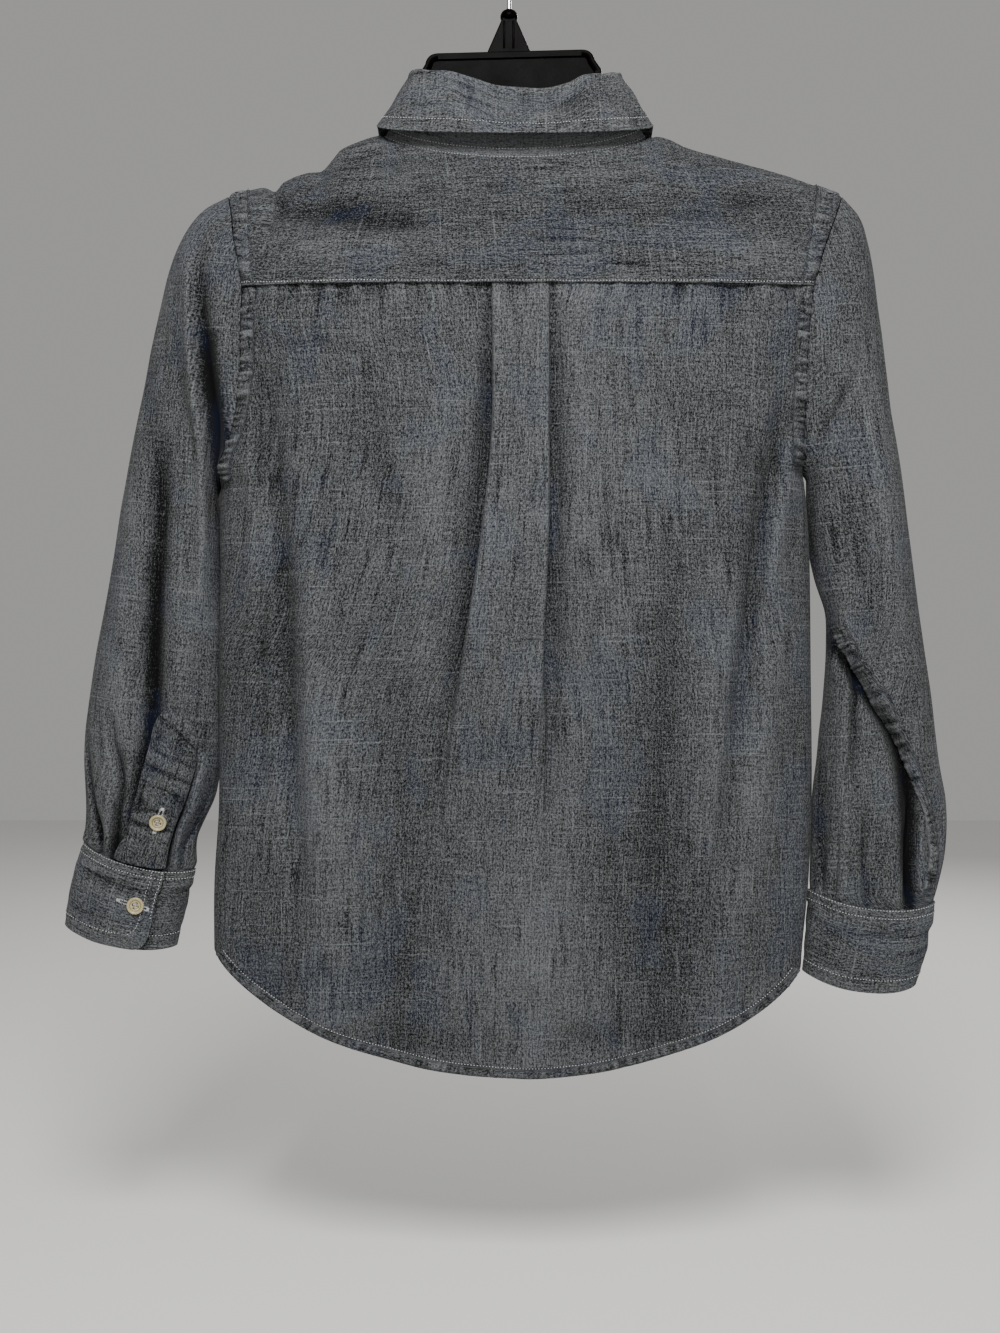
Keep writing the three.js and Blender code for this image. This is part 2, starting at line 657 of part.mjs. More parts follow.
function leafPoint(share, v) {
  const foldTurn = lerp(-half + collar.foldGap, 1.5 * Math.PI - collar.foldGap, share);
  const edgeTurn = lerp(-half + collar.pointGap, 1.5 * Math.PI - collar.pointGap, share);
  const top = standPoint(foldTurn, 1);
  const outwards = new THREE.Vector3(Math.cos(foldTurn), -Math.sin(foldTurn), 0).normalize();
  const roll = v * (collar.rows - 1);
  const angle = Math.PI * Math.min(roll, collar.rollRows) / collar.rollRows;
  const point = top.clone();
  point.addScaledVector(outwards, collar.roll * (1 - Math.cos(angle)) / 2);
  point.z += seamGap + 0.8 + collar.roll * Math.sin(angle) * 0.8;
  if (roll > collar.rollRows) {
    const fall = (roll - collar.rollRows) / (collar.rows - 1 - collar.rollRows);
    const sine = Math.sin(edgeTurn);
    const depth = sine > 0 ? collar.fallBackDepth : collar.fallFrontDepth;
    const drop = sine > 0 ? collar.fallBack : collar.fallFront;
    const edge = new THREE.Vector3(
      neck.centre + collar.fallHalfWidth * Math.cos(edgeTurn),
      -depth * bend(sine, 0.8),
      collar.edgeHeight - drop * Math.abs(sine) ** (sine > 0 ? 0.8 : 1.2),
    );
    point.lerp(edge, fall);
  }
  return point;
}

// ---- sleeves, cuffs and sleeve plackets
const numbered = (rows) => rows.map((row, k) => ({ ...row, k }));
for (const sleeve of Object.values(sleeves)) {
  sleeve.rings = numbered(sleeve.rings);
  sleeve.cuff = numbered(sleeve.cuff);
}

function ringPoint(rings, k, turn, roundness) {
  const value = (column) => smooth(rings, 'k', column, k);
  const sine = Math.sin(turn);
  const across = (1 - bend(Math.cos(turn), 2 / roundness)) / 2;
  const depth = sine > 0 ? value('back') : value('front');
  return new THREE.Vector3(
    lerp(value('outerX'), value('innerX'), across),
    value('y') - depth * bend(sine, 2 / roundness),
    lerp(value('outerZ'), value('innerZ'), across),
  );
}

function sleevePoint(side, k, turn) {
  const sleeve = sleeves[side];
  const settle = clamp(k / 4, 0, 1);
  const point = ringPoint(sleeve.rings, k, turn, lerp(2, 2.3, settle));
  if (k < 3) {
    const bow = armhole(side, turn, armholeGap / 2).x - ringPoint(sleeve.rings, 0, turn, 2).x;
    point.x += bow * (1 - k / 3) ** 2;
  }
  const sine = Math.sin(turn);
  if (sine > 0) {
    point.y -= relief(sleeve.folds, point.x, point.z) * Math.sqrt(sine) * Math.min(k, 1);
  }
  point.z -= sleeve.cuffSag * (sine * clamp((k - 11) / 4, 0, 1)) ** 2;
  return point;
}

function sleeveTube(side) {
  const last = sleeves[side].rings.length - 1;
  const direction = side === 'left' ? 1 : -1;
  const around = 22;
  return makeGrid(23, around, (v, u, i, j) => {
    const turn = direction * 2 * Math.PI * j / around;
    return sleevePoint(side, v * last, turn);
  });
}

function cuffPoint(side, v, turn) {
  const sleeve = sleeves[side];
  const point = ringPoint(sleeve.cuff, v * (sleeve.cuff.length - 1), turn, 2.4);
  point.z -= sleeve.cuffSag * Math.sin(turn) ** 2;
  return point;
}

// The cuff's visible end laps over the other end on one face.
function cuffBand(side) {
  const face = side === 'left' ? 1 : -1;
  const lapEnd = 2.09;
  const lap = 0.72;
  return makeGrid(4, 28, (v, u) => {
    const turn = lerp(lapEnd - lap, 2 * Math.PI + lapEnd, u);
    const point = cuffPoint(side, v, turn * face);
    const over = clamp((turn - (2 * Math.PI + lapEnd - lap - 0.4)) / 0.35, 0, 1);
    point.y -= face * layerStep * over;
    return point;
  });
}

function outwardsFrom(surface, a, b) {
  const step = 0.02;
  const alongA = surface(a + step, b).sub(surface(a - step, b));
  const alongB = surface(a, b + step).sub(surface(a, b - step));
  return alongA.cross(alongB).normalize();
}

// A strip over the sleeve's slit, rounded at its top.
function sleevePlacket(side) {
  const sleeve = sleeves[side];
  const face = side === 'left' ? 1 : -1;
  const last = sleeve.rings.length - 1;
  const shape = sleeve.placket;
  return makeGrid(9, 5, (v, u) => {
    const rounding = 1 - Math.max(0, 1 - v * 8) ** 2;
    const low = lerp(shape.left1, shape.left2, v);
    const high = lerp(shape.right1, shape.right2, v);
    const middle = (low + high) / 2;
    const across = lerp(middle, lerp(low, high, u), 0.35 + 0.65 * Math.sqrt(rounding));
    const turn = face * Math.acos(clamp(1 - 2 * across, -1, 1));
    const k = lerp(10.1, last - 0.12, v);
    const surface = (a, b) => sleevePoint(side, a, b);
    const out = outwardsFrom(surface, k, turn);
    if (out.y * face > 0) {
      out.negate();
    }
    return sleevePoint(side, k, turn).addScaledVector(out, layerStep + 0.8);
  });
}

// ---- buttons, flat discs with four holes
function polygon(x, y, radius, sides) {
  const points = [];
  for (let i = 0; i < sides; i += 1) {
    const angle = (i / sides) * 2 * Math.PI;
    points.push(new THREE.Vector2(x + radius * Math.cos(angle), y + radius * Math.sin(angle)));
  }
  return points;
}

function buttonGeometry() {
  const disc = new THREE.Shape(polygon(0, 0, buttonSize.radius, 18));
  for (let i = 0; i < 4; i += 1) {
    const angle = Math.PI / 4 + i * half;
    const reach = buttonSize.holeSpacing;
    const hole = polygon(Math.cos(angle) * reach, Math.sin(angle) * reach, buttonSize.hole, 4);
    disc.holes.push(new THREE.Path(hole));
  }
  const options = { depth: buttonSize.thickness, bevelEnabled: false };
  const geometry = new THREE.ExtrudeGeometry(disc, options);
  geometry.translate(0, 0, -buttonSize.thickness / 2);
  return geometry;
}

function addButton(name, place, outwards) {
  const mesh = add(name, buttonGeometry(), ivory);
  mesh.position.copy(place);
  mesh.quaternion.setFromUnitVectors(new THREE.Vector3(0, 0, 1), outwards.clone().normalize());
}

const buttonLift = (cloth + buttonSize.thickness) / 2 + 0.4;
const buttonRow = { top: -224, pitch: 78, count: 7 };

function addFrontButtons() {
  const forwards = new THREE.Vector3(0, 1, 0);
  const x = body.centre;
  for (let i = 0; i < buttonRow.count; i += 1) {
    const z = buttonRow.top - i * buttonRow.pitch;
    const place = frontPoint('left', x, z, frontTop('left', x));
    place.y += lapStep(x) + layerStep + 0.4 + buttonLift;
    addButton(`button_front_${i + 1}`, place, forwards);
  }
  const onStand = standPoint(1.5 * Math.PI, 0.5);
  onStand.y += layerStep + 0.3;
  const leaning = new THREE.Vector3(0, 1, 0.25).normalize();
  onStand.addScaledVector(leaning, buttonLift);
  addButton('button_collar_stand', onStand, leaning);
}

// The places of the sleeve buttons: down the sleeve or cuff, and round it.
const cuffButton = { down: 0.6, turn: 1.77 };
const slitButton = { ring: 12.8, turn: 1.93 };

function addSleeveButtons() {
  for (const side of ['left', 'right']) {
    const face = side === 'left' ? 1 : -1;
    const cuffSurface = (a, b) => cuffPoint(side, a, b);
    const sleeveSurface = (a, b) => sleevePoint(side, a, b);
    const places = {
      cuff: [cuffSurface, cuffButton.down, cuffButton.turn * face, layerStep + buttonLift + 0.2],
      sleeve: [sleeveSurface, slitButton.ring, slitButton.turn * face, 2 * layerStep + buttonLift],
    };
    for (const [kind, [surface, down, turn, lift]] of Object.entries(places)) {
      const out = outwardsFrom(surface, down, turn);
      if (out.y * face > 0) {
        out.negate();
      }
      addButton(`button_${kind}_${side}`, surface(down, turn).addScaledVector(out, lift), out);
    }
  }
}

// ---- hanger: plate and arms in one moulding, with a neck post and a wire hook
const hanger = {
  thickness: 8,
  plateTop: -101,
  plateHalf: 53.5,
  shoulderHalf: 59,
  centre: 1.2,
  shoulderDrop: 13,
  rim: 4,
  recess: 1.4,
  armHalf: 147,
  armTop: -160,
  armEnd: -191,
  armWidth: 20,
  tilt: 1.5,
  postHalf: 4.8,
  postTop: -78,
};

function solidFrom(geometry) {
  const plain = geometry.index ? geometry.toNonIndexed() : geometry.clone();
  plain.deleteAttribute('normal');
  plain.deleteAttribute('uv');
  const merged = mergeVertices(plain, 1e-4);
  return new wasm.Manifold(new wasm.Mesh({
    numProp: 3,
    vertProperties: new Float32Array(merged.attributes.position.array),
    triVerts: new Uint32Array(merged.index.array),
  }));
}

function geometryFrom(solid) {
  const mesh = solid.getMesh();
  const geometry = new THREE.BufferGeometry();
  geometry.setAttribute('position', new THREE.Float32BufferAttribute(mesh.vertProperties, 3));
  geometry.setIndex(Array.from(mesh.triVerts));
  return geometry;
}

// Flat outlines are drawn in X and Z and given their thickness along Y.
function upright(shape, thickness, centre = 0, segments = 4) {
  const options = { depth: thickness, bevelEnabled: false, curveSegments: segments };
  const geometry = new THREE.ExtrudeGeometry(shape, options);
  geometry.rotateX(half);
  geometry.translate(0, centre + thickness / 2, 0);
  return geometry;
}

function hangerOutline() {
  const h = hanger;
  const corner = 7;
  const shape = new THREE.Shape();
  shape.moveTo(-h.plateHalf + corner, h.plateTop);
  shape.lineTo(h.plateHalf - corner, h.plateTop);
  shape.quadraticCurveTo(h.plateHalf, h.plateTop, h.plateHalf + 1.5, h.plateTop - corner);
  shape.lineTo(h.shoulderHalf, h.plateTop - h.shoulderDrop);
  shape.lineTo(h.shoulderHalf + 1, h.armTop);
  shape.quadraticCurveTo(h.armHalf - 40, h.armTop - 15, h.armHalf, h.armEnd);
  shape.quadraticCurveTo(h.armHalf + 6, h.armEnd - 8, h.armHalf - 4, h.armEnd - h.armWidth * 0.8);
  shape.lineTo(h.shoulderHalf, h.armTop - h.armWidth - 12);
  shape.lineTo(-h.shoulderHalf, h.armTop - h.armWidth - 12);
  shape.lineTo(-h.armHalf + 4, h.armEnd - h.armWidth * 0.8);
  shape.quadraticCurveTo(-h.armHalf - 6, h.armEnd - 8, -h.armHalf, h.armEnd);
  shape.quadraticCurveTo(-h.armHalf + 40, h.armTop - 15, -h.shoulderHalf - 1, h.armTop);
  shape.lineTo(-h.shoulderHalf, h.plateTop - h.shoulderDrop);
  shape.lineTo(-h.plateHalf - 1.5, h.plateTop - corner);
  shape.quadraticCurveTo(-h.plateHalf, h.plateTop, -h.plateHalf + corner, h.plateTop);
  return shape;
}

function plateRecess() {
  const h = hanger;
  const shape = new THREE.Shape();
  shape.moveTo(-h.plateHalf + h.rim, h.plateTop - h.rim);
  shape.lineTo(h.plateHalf - h.rim, h.plateTop - h.rim);
  shape.lineTo(h.shoulderHalf - h.rim, h.plateTop - h.shoulderDrop);
  shape.lineTo(h.shoulderHalf - h.rim, h.armTop - 8);
  shape.lineTo(-h.shoulderHalf + h.rim, h.armTop - 8);
  shape.lineTo(-h.shoulderHalf + h.rim, h.plateTop - h.shoulderDrop);
  return shape;
}

function neckPost() {
  const h = hanger;
  const shape = new THREE.Shape();
  shape.moveTo(-14, h.plateTop - 2);
  shape.lineTo(14, h.plateTop - 2);
  shape.lineTo(14, h.plateTop);
  shape.lineTo(h.postHalf, h.postTop - 2);
  shape.lineTo(h.postHalf, h.postTop);
  shape.lineTo(-h.postHalf, h.postTop);
  shape.lineTo(-h.postHalf, h.postTop - 2);
  shape.lineTo(-14, h.plateTop);
  return shape;
}

function hangerBody() {
  const h = hanger;
  const level = (h.plateTop + h.armTop) / 2;
  const tilted = (geometry) => geometry.translate(0, 0, -level)
    .rotateY(-THREE.MathUtils.degToRad(h.tilt)).translate(h.centre, 0, level);
  const moulding = solidFrom(tilted(upright(hangerOutline(), h.thickness)));
  const pocket = upright(plateRecess(), h.recess * 2);
  const backPocket = solidFrom(tilted(pocket.clone().translate(0, -h.thickness / 2, 0)));
  const frontPocket = solidFrom(tilted(pocket.clone().translate(0, h.thickness / 2, 0)));
  const post = solidFrom(upright(neckPost(), 7));
  const cap = new THREE.LatheGeometry([
    new THREE.Vector2(0, 0),
    new THREE.Vector2(5.6, 0),
    new THREE.Vector2(5.6, 2.5),
    new THREE.Vector2(4.2, 5),
    new THREE.Vector2(0, 6.2),
  ], 16);
  cap.rotateX(half);
  cap.translate(0, 0, h.postTop - 1);
  return geometryFrom(moulding.subtract(backPocket).subtract(frontPocket).add(post)
    .add(solidFrom(cap)));
}

const hook = { inside: 22, wire: 1.5, foot: -72.4, bend: -52, start: -0.9, end: 3.35 };

function hookWire() {
  const points = [new THREE.Vector3(0, 0, hook.foot)];
  points.push(new THREE.Vector3(0, 0, (hook.foot + hook.bend) / 2));
  points.push(new THREE.Vector3(1.2, 0, hook.bend));
  const radius = hook.inside + hook.wire;
  const arcSteps = 12;
  for (let i = 0; i <= arcSteps; i += 1) {
    const angle = lerp(hook.start, hook.end, i / arcSteps);
    points.push(new THREE.Vector3(radius * Math.cos(angle), 0,
      -hook.inside + radius * Math.sin(angle)));
  }
  const section = new THREE.Shape();
  section.absarc(0, 0, hook.wire, 0, Math.PI * 2);
  const path = new THREE.CatmullRomCurve3(points, false, 'centripetal');
  path.arcLengthDivisions = 400;
  return new THREE.ExtrudeGeometry(section, { steps: 32, extrudePath: path, curveSegments: 3 });
}

// ---- the whole shirt
add('back_panel', wall(backPanel()), chambray);
add('yoke', wall(yokePanel()), chambray);
add('left_front', wall(frontPanel('left')), chambray);
add('right_front', wall(frontPanel('right')), chambray);
add('front_placket', wall(frontPlacket()), chambray);
add('collar_stand', wall(collarStand()), chambray);
add('collar_leaf', wall(makeGrid(collar.rows, 41, (v, u) => leafPoint(u, v))), chambray);
for (const side of ['left', 'right']) {
  add(`sleeve_${side}`, wall(sleeveTube(side), true), chambray);
  add(`cuff_${side}`, wall(cuffBand(side), false, 1.6), chambray);
  add(`sleeve_placket_${side}`, wall(sleevePlacket(side)), chambray);
}
addFrontButtons();
addSleeveButtons();
add('hanger_body', hangerBody(), plastic);
add('hanger_hook', hookWire(), steel);

export default shirt;
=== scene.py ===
from bisect import bisect_right
from math import acos, asin, atan, copysign, cos, exp, pi, sin, sqrt, tau

import bmesh
import bpy
from mathutils import Matrix, Vector, noise


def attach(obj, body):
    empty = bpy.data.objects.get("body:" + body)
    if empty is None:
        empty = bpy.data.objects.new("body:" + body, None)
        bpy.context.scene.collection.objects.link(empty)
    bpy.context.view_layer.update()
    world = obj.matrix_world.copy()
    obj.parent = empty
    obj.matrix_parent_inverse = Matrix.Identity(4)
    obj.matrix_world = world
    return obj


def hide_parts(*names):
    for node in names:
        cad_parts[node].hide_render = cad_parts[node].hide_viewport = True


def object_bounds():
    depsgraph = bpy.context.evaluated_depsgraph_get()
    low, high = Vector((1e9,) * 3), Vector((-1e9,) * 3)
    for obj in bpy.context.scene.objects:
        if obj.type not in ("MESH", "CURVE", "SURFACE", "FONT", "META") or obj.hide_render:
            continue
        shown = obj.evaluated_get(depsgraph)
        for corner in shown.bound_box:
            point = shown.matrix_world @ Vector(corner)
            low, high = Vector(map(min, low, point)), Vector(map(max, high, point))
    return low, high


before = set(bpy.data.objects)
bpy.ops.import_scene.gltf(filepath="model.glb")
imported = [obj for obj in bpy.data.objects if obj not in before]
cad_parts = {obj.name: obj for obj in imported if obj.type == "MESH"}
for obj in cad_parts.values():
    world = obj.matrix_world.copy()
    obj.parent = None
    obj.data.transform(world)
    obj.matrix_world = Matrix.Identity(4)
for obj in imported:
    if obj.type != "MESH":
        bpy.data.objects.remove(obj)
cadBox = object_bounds()
print("frame loaded", [tuple(round(c, 3) for c in corner) for corner in cadBox])

mm = 0.001  # shapes are worked out in millimetres and written in metres
sides = ("left", "right")
signOf = {"left": -1, "right": 1}


# small helpers

def lerp(a, b, t):
    return a + (b - a) * t


def clamp(value, low=0.0, high=1.0):
    return min(max(value, low), high)


def ease(value):  # 0 to 1 with soft ends
    t = clamp(value)
    return t * t * (3 - 2 * t)


def bend(value, power):  # a power that keeps the sign
    return copysign(abs(value) ** power, value)


def toward(hint, out):  # turned so that it points to the hint's side
    return -out if out.dot(hint) < 0 else out


def axes(x, y, z):  # a turn that carries +X, +Y and +Z to these directions
    return Matrix((x, y, z)).transposed().to_4x4()


def addObject(name, data):
    thing = bpy.data.objects.new(name, data)
    bpy.context.scene.collection.objects.link(thing)
    return thing


def toMesh(name, bm):
    mesh = bpy.data.meshes.new(name)
    bm.to_mesh(mesh)
    bm.free()
    return mesh


def newLook(name):
    look = bpy.data.materials.new(name)
    look.use_nodes = True
    return look, look.node_tree, look.node_tree.nodes["Principled BSDF"]


def table(columns, *rows):
    names = columns.split()
    return {name: [row[i] for row in rows] for i, name in enumerate(names)}


def through(rows, key, column):  # a smooth curve through a table's column
    keys, values = rows[key], rows[column]
    last = len(keys) - 1
    slopes = []
    for j in range(last + 1):
        a, b = max(j - 1, 0), min(j + 1, last)
        slopes.append((values[b] - values[a]) / (keys[b] - keys[a]))

    def at(place):
        place = clamp(place, keys[0], keys[last])
        i = int(clamp(bisect_right(keys, place) - 1, 0, last - 1))
        span = keys[i + 1] - keys[i]
        t = (place - keys[i]) / span
        t2, t3 = t * t, t * t * t
        return ((2 * t3 - 3 * t2 + 1) * values[i] + (t3 - 2 * t2 + t) * span * slopes[i]
                + (3 * t2 - 2 * t3) * values[i + 1] + (t3 - t2) * span * slopes[i + 1])
    return at


def noiseAt(x, y, z):
    return noise.noise(Vector((x, y, z)))


def soft(x, z, seed, size):  # slow unevenness, from -1 to 1
    return noiseAt(x / size, z / size, seed)


# camera, studio light and floor

studio = {
    "cameraAt": (-0.00585, -1.0, -0.4995),
    "pictureHeight": 0.86645,
    "lamps": {  # place, size and power
        "keyLamp": ((-0.02, -1.15, 0.5), 0.5, 31),
        "fillLamp": ((0.9, -1.4, -0.8), 1.6, 7),
        "backLamp": ((0.5, 1.6, 0.5), 0.5, 16),
    },
    "lampTarget": (0, 0, -0.42),
    "worldColour": (0.86, 0.85, 0.83, 1),
    "worldStrength": 0.4,
    "floorSize": 3,
    "floorDrop": 0.14,
    "floorColour": (0.8, 0.79, 0.77, 1),
    "floorRoughness": 0.9,
}


def addCamera():
    data = bpy.data.cameras.new("camera")
    data.sensor_fit = "VERTICAL"
    data.angle = 2 * atan(studio["pictureHeight"] / 2 / abs(studio["cameraAt"][1]))
    camera = addObject("camera", data)
    camera.location = studio["cameraAt"]
    camera.rotation_euler = (pi / 2, 0, 0)
    bpy.context.scene.camera = camera


def addLamps():
    for name, (place, size, power) in studio["lamps"].items():
        data = bpy.data.lights.new(name, "AREA")
        data.energy = power
        data.size = size
        lamp = addObject(name, data)
        lamp.location = place
        way = Vector(studio["lampTarget"]) - lamp.location
        lamp.rotation_euler = way.to_track_quat("-Z", "Y").to_euler()
    world = bpy.data.worlds.new("studio")
    bpy.context.scene.world = world
    world.use_nodes = True
    background = world.node_tree.nodes["Background"]
    background.inputs["Color"].default_value = studio["worldColour"]
    background.inputs["Strength"].default_value = studio["worldStrength"]


def addFloor():
    bm = bmesh.new()
    bmesh.ops.create_grid(bm, x_segments=2, y_segments=2, size=studio["floorSize"])
    bmesh.ops.translate(bm, verts=bm.verts, vec=(0, 0, cadBox[0][2] - studio["floorDrop"]))
    floor = addObject("floor", toMesh("floor", bm))
    look, _, shader = newLook("floorPaint")
    shader.inputs["Base Color"].default_value = studio["floorColour"]
    shader.inputs["Roughness"].default_value = studio["floorRoughness"]
    floor.data.materials.append(look)


addCamera()
addLamps()
addFloor()
print("camera and studio ready")


# materials: node groups first

def newNode(tree, kind, inputs=None, **values):
    made = tree.nodes.new(kind)
    for key, value in values.items():
        setattr(made, key, value)
    for socket, value in (inputs or {}).items():
        if isinstance(value, bpy.types.NodeSocket):
            tree.links.new(value, made.inputs[socket])
        else:
            made.inputs[socket].default_value = value
    return made


def mathNode(tree, operation, a, b=0.0, c=0.0, limit=False):
    return newNode(tree, "ShaderNodeMath", {0: a, 1: b, 2: c}, operation=operation,
                   use_clamp=limit).outputs[0]


def mapRange(tree, value, low, high, toLow=0.0, toHigh=1.0):
    return newNode(tree, "ShaderNodeMapRange", {
        "Value": value, "From Min": low, "From Max": high, "To Min": toLow, "To Max": toHigh},
        interpolation_type="SMOOTHSTEP").outputs["Result"]


def mixColour(tree, share, a, b):
    return newNode(tree, "ShaderNodeMix", {0: share, 6: a, 7: b}, data_type="RGBA").outputs[2]


def stretchedNoise(tree, vector, across, along, detail, roughness, turn, shift):
    mapping = newNode(tree, "ShaderNodeMapping", {
        "Vector": vector, "Scale": (across, along, 1), "Rotation": (0, 0, turn),
        "Location": (shift, shift, 0)})
    return newNode(tree, "ShaderNodeTexNoise", {
        "Vector": mapping.outputs[0], "Scale": 1.0, "Detail": detail, "Roughness": roughness},
        noise_dimensions="2D").outputs[0]


def newGroup(name, inputs, outputs):
    group = bpy.data.node_groups.new(name, "ShaderNodeTree")
    for label, kind, value in inputs:
        socket = group.interface.new_socket(name=label, in_out="INPUT", socket_type=kind)
        if value is not None:
            socket.default_value = value
    for label, kind in outputs:
        group.interface.new_socket(name=label, in_out="OUTPUT", socket_type=kind)
    start = group.nodes.new("NodeGroupInput")
    end = group.nodes.new("NodeGroupOutput")
    return group, start.outputs, end.inputs


weaving = {
    "noises": {  # scale across and along the cloth, detail, roughness, turn and shift
        "grain": (0.75, 0.75, 3, 0.8, 0, 0),
        "fine": (1.7, 1.7, 1, 0.6, 0, 17),
        "twill": (1.4, 0.4, 2, 0.6, 0.75, 11),
        "warpLines": (0.95, 0.04, 2, 0.7, 0, 3),
        "weftLines": (0.035, 0.95, 2, 0.7, 0, 7),
        "slubDown": (0.7, 0.018, 1, 0.6, 0, 23),
        "slubAcross": (0.016, 0.7, 1, 0.6, 0, 41),
        "streak": (0.2, 0.02, 4, 0.65, 0, 57),
        "cloud": (0.014, 0.01, 3, 0.6, 0, 71),
        "blueCloud": (0.022, 0.014, 3, 0.6, 0, 83),
    },
    "yarns": {"grain": 0.52, "fine": 0.3, "twill": 0.38, "warpLines": 0.22, "weftLines": 0.14},
    "slubs": 0.28,
    "streaks": -0.26,
    "clouds": 0.3,
    # how strongly the vertex tone value moves the cloth's tone; it holds wear and painted shade and
    # light
    "fade": 1.1,
    "paleShare": 0.38,
    "relief": 0.4,
    "rough": (0.97, 0.86),
}


def weaveGroup():  # yarn, slubs, streaks, wear and painted shade and light of the cloth, in its own flat millimetres
    group, given, out = newGroup("chambrayWeave", [
        ("Place", "NodeSocketVector", None),
        ("Fade", "NodeSocketFloat", 0.5),
        ("Warp", "NodeSocketColor", (0.1, 0.1, 0.1, 1)),
        ("Weft", "NodeSocketColor", (0.5, 0.5, 0.5, 1)),
        ("Blue", "NodeSocketColor", (0.1, 0.1, 0.3, 1)),
        ("Streaks", "NodeSocketFloat", 1.0),
    ], [("Color", "NodeSocketColor"), ("Height", "NodeSocketFloat"),
        ("Roughness", "NodeSocketFloat")])
    noises = {name: stretchedNoise(group, given["Place"], *values)
              for name, values in weaving["noises"].items()}
    tone = 0.0
    for name, amount in weaving["yarns"].items():
        crisp = mathNode(group, "SUBTRACT", mapRange(group, noises[name], 0.34, 0.66), 0.5)
        tone = mathNode(group, "MULTIPLY_ADD", crisp, amount, tone)
    slubs = mathNode(group, "MAXIMUM", mapRange(group, noises["slubDown"], 0.68, 0.78),
                     mapRange(group, noises["slubAcross"], 0.68, 0.78))
    tone = mathNode(group, "MULTIPLY_ADD", slubs, weaving["slubs"], tone)
    patches = mapRange(group, noises["cloud"], 0.35, 0.65)
    dark = mathNode(group, "MULTIPLY", mapRange(group, noises["streak"], 0.5, 0.7),
                    mathNode(group, "MULTIPLY", given["Streaks"], patches))
    tone = mathNode(group, "MULTIPLY_ADD", dark, weaving["streaks"], tone)
    # the vertex tone value is real wear mixed with painted shade in hollows and painted light on
    # swells
    for slow, amount in ((noises["cloud"], weaving["clouds"]), (given["Fade"], weaving["fade"])):
        tone = mathNode(group, "MULTIPLY_ADD", mathNode(group, "SUBTRACT", slow, 0.5), amount, tone)
    share = mathNode(group, "ADD", tone, weaving["paleShare"], limit=True)
    warp = mixColour(group, mapRange(group, noises["blueCloud"], 0.5, 0.62), given["Warp"],
                     given["Blue"])
    group.links.new(mixColour(group, share, warp, given["Weft"]), out["Color"])
    height = mathNode(group, "ADD", noises["grain"],
                      mathNode(group, "MULTIPLY", slubs, weaving["relief"]))
    lines = mathNode(group, "ADD", noises["warpLines"], noises["weftLines"])
    height = mathNode(group, "MULTIPLY_ADD", lines, weaving["relief"], height)
    group.links.new(height, out["Height"])
    group.links.new(mapRange(group, share, 0, 1, *weaving["rough"]), out["Roughness"])
    return group


def grainGroup():  # fine dust, scuffs and colour drift for hard parts
    group, given, out = newGroup("hardGrain", [
        ("Scale", "NodeSocketFloat", 900.0),
        ("Base", "NodeSocketColor", (0.5, 0.5, 0.5, 1)),
        ("Drift", "NodeSocketColor", (0.5, 0.5, 0.5, 1)),
        ("Polish", "NodeSocketFloat", 0.3),
    ], [("Color", "NodeSocketColor"), ("Height", "NodeSocketFloat"),
        ("Roughness", "NodeSocketFloat")])
    place = newNode(group, "ShaderNodeTexCoord").outputs["Object"]
    fine, slow = (newNode(group, "ShaderNodeTexNoise", {
        "Vector": place, "Scale": scale, "Detail": detail}).outputs[0]
        for scale, detail in ((given["Scale"], 3.0), (70.0, 2.0)))
    group.links.new(mixColour(group, mapRange(group, slow, 0.35, 0.65), given["Base"],
                              given["Drift"]), out["Color"])
    group.links.new(fine, out["Height"])
    rough = mathNode(group, "MULTIPLY_ADD", mathNode(group, "SUBTRACT", fine, 0.5), 0.25,
                     given["Polish"])
    group.links.new(mathNode(group, "MULTIPLY_ADD", mathNode(group, "SUBTRACT", slow, 0.5), 0.15,
                             rough), out["Roughness"])
    return group


weave = weaveGroup()
hardGrain = grainGroup()


def feedLook(tree, shader, grain, strength, distance, settings):
    for socket in ("Base Color", "Roughness"):
        tree.links.new(grain.outputs[socket.split()[-1]], shader.inputs[socket])
    raised = newNode(tree, "ShaderNodeBump", {
        "Height": grain.outputs["Height"], "Strength": strength, "Distance": distance})
    tree.links.new(raised.outputs[0], shader.inputs["Normal"])
    for socket, value in settings.items():
        shader.inputs[socket].default_value = value


clothTones = {
    "Warp": (0.0022, 0.0023, 0.0026, 1),
    "Weft": (0.142, 0.148, 0.153, 1),
    "Blue": (0.003, 0.005, 0.013, 1),
}
clothSheen = {"Sheen Weight": 0.03, "Sheen Roughness": 0.5, "Specular IOR Level": 0.1}


def clothLook(name, streaks=1.0, turn=0.0):
    look, tree, shader = newLook(name)
    flat = newNode(tree, "ShaderNodeUVMap", uv_map="weave").outputs[0]
    turned = newNode(tree, "ShaderNodeMapping", {
        "Vector": flat, "Rotation": (0, 0, turn), "Scale": (1000, 1000, 1)}).outputs[0]
    # the vertex tone value: wear, with painted shade and light from the folds
    fade = newNode(tree, "ShaderNodeAttribute", attribute_name="fade").outputs["Fac"]
    grain = newNode(tree, "ShaderNodeGroup", {
        "Place": turned, "Fade": fade, "Streaks": streaks, **clothTones}, node_tree=weave)
    feedLook(tree, shader, grain, 0.5, 0.0005, clothSheen)
    return look


def hardLook(name, base, drift, polish, scale, bump, metal=0.0, coat=0.0, gloss=0.5):
    look, tree, shader = newLook(name)
    grain = newNode(tree, "ShaderNodeGroup", {
        "Scale": scale, "Base": base, "Drift": drift, "Polish": polish}, node_tree=hardGrain)
    feedLook(tree, shader, grain, bump, 0.0002, {
        "Metallic": metal, "Coat Weight": coat, "Specular IOR Level": gloss})
    return look


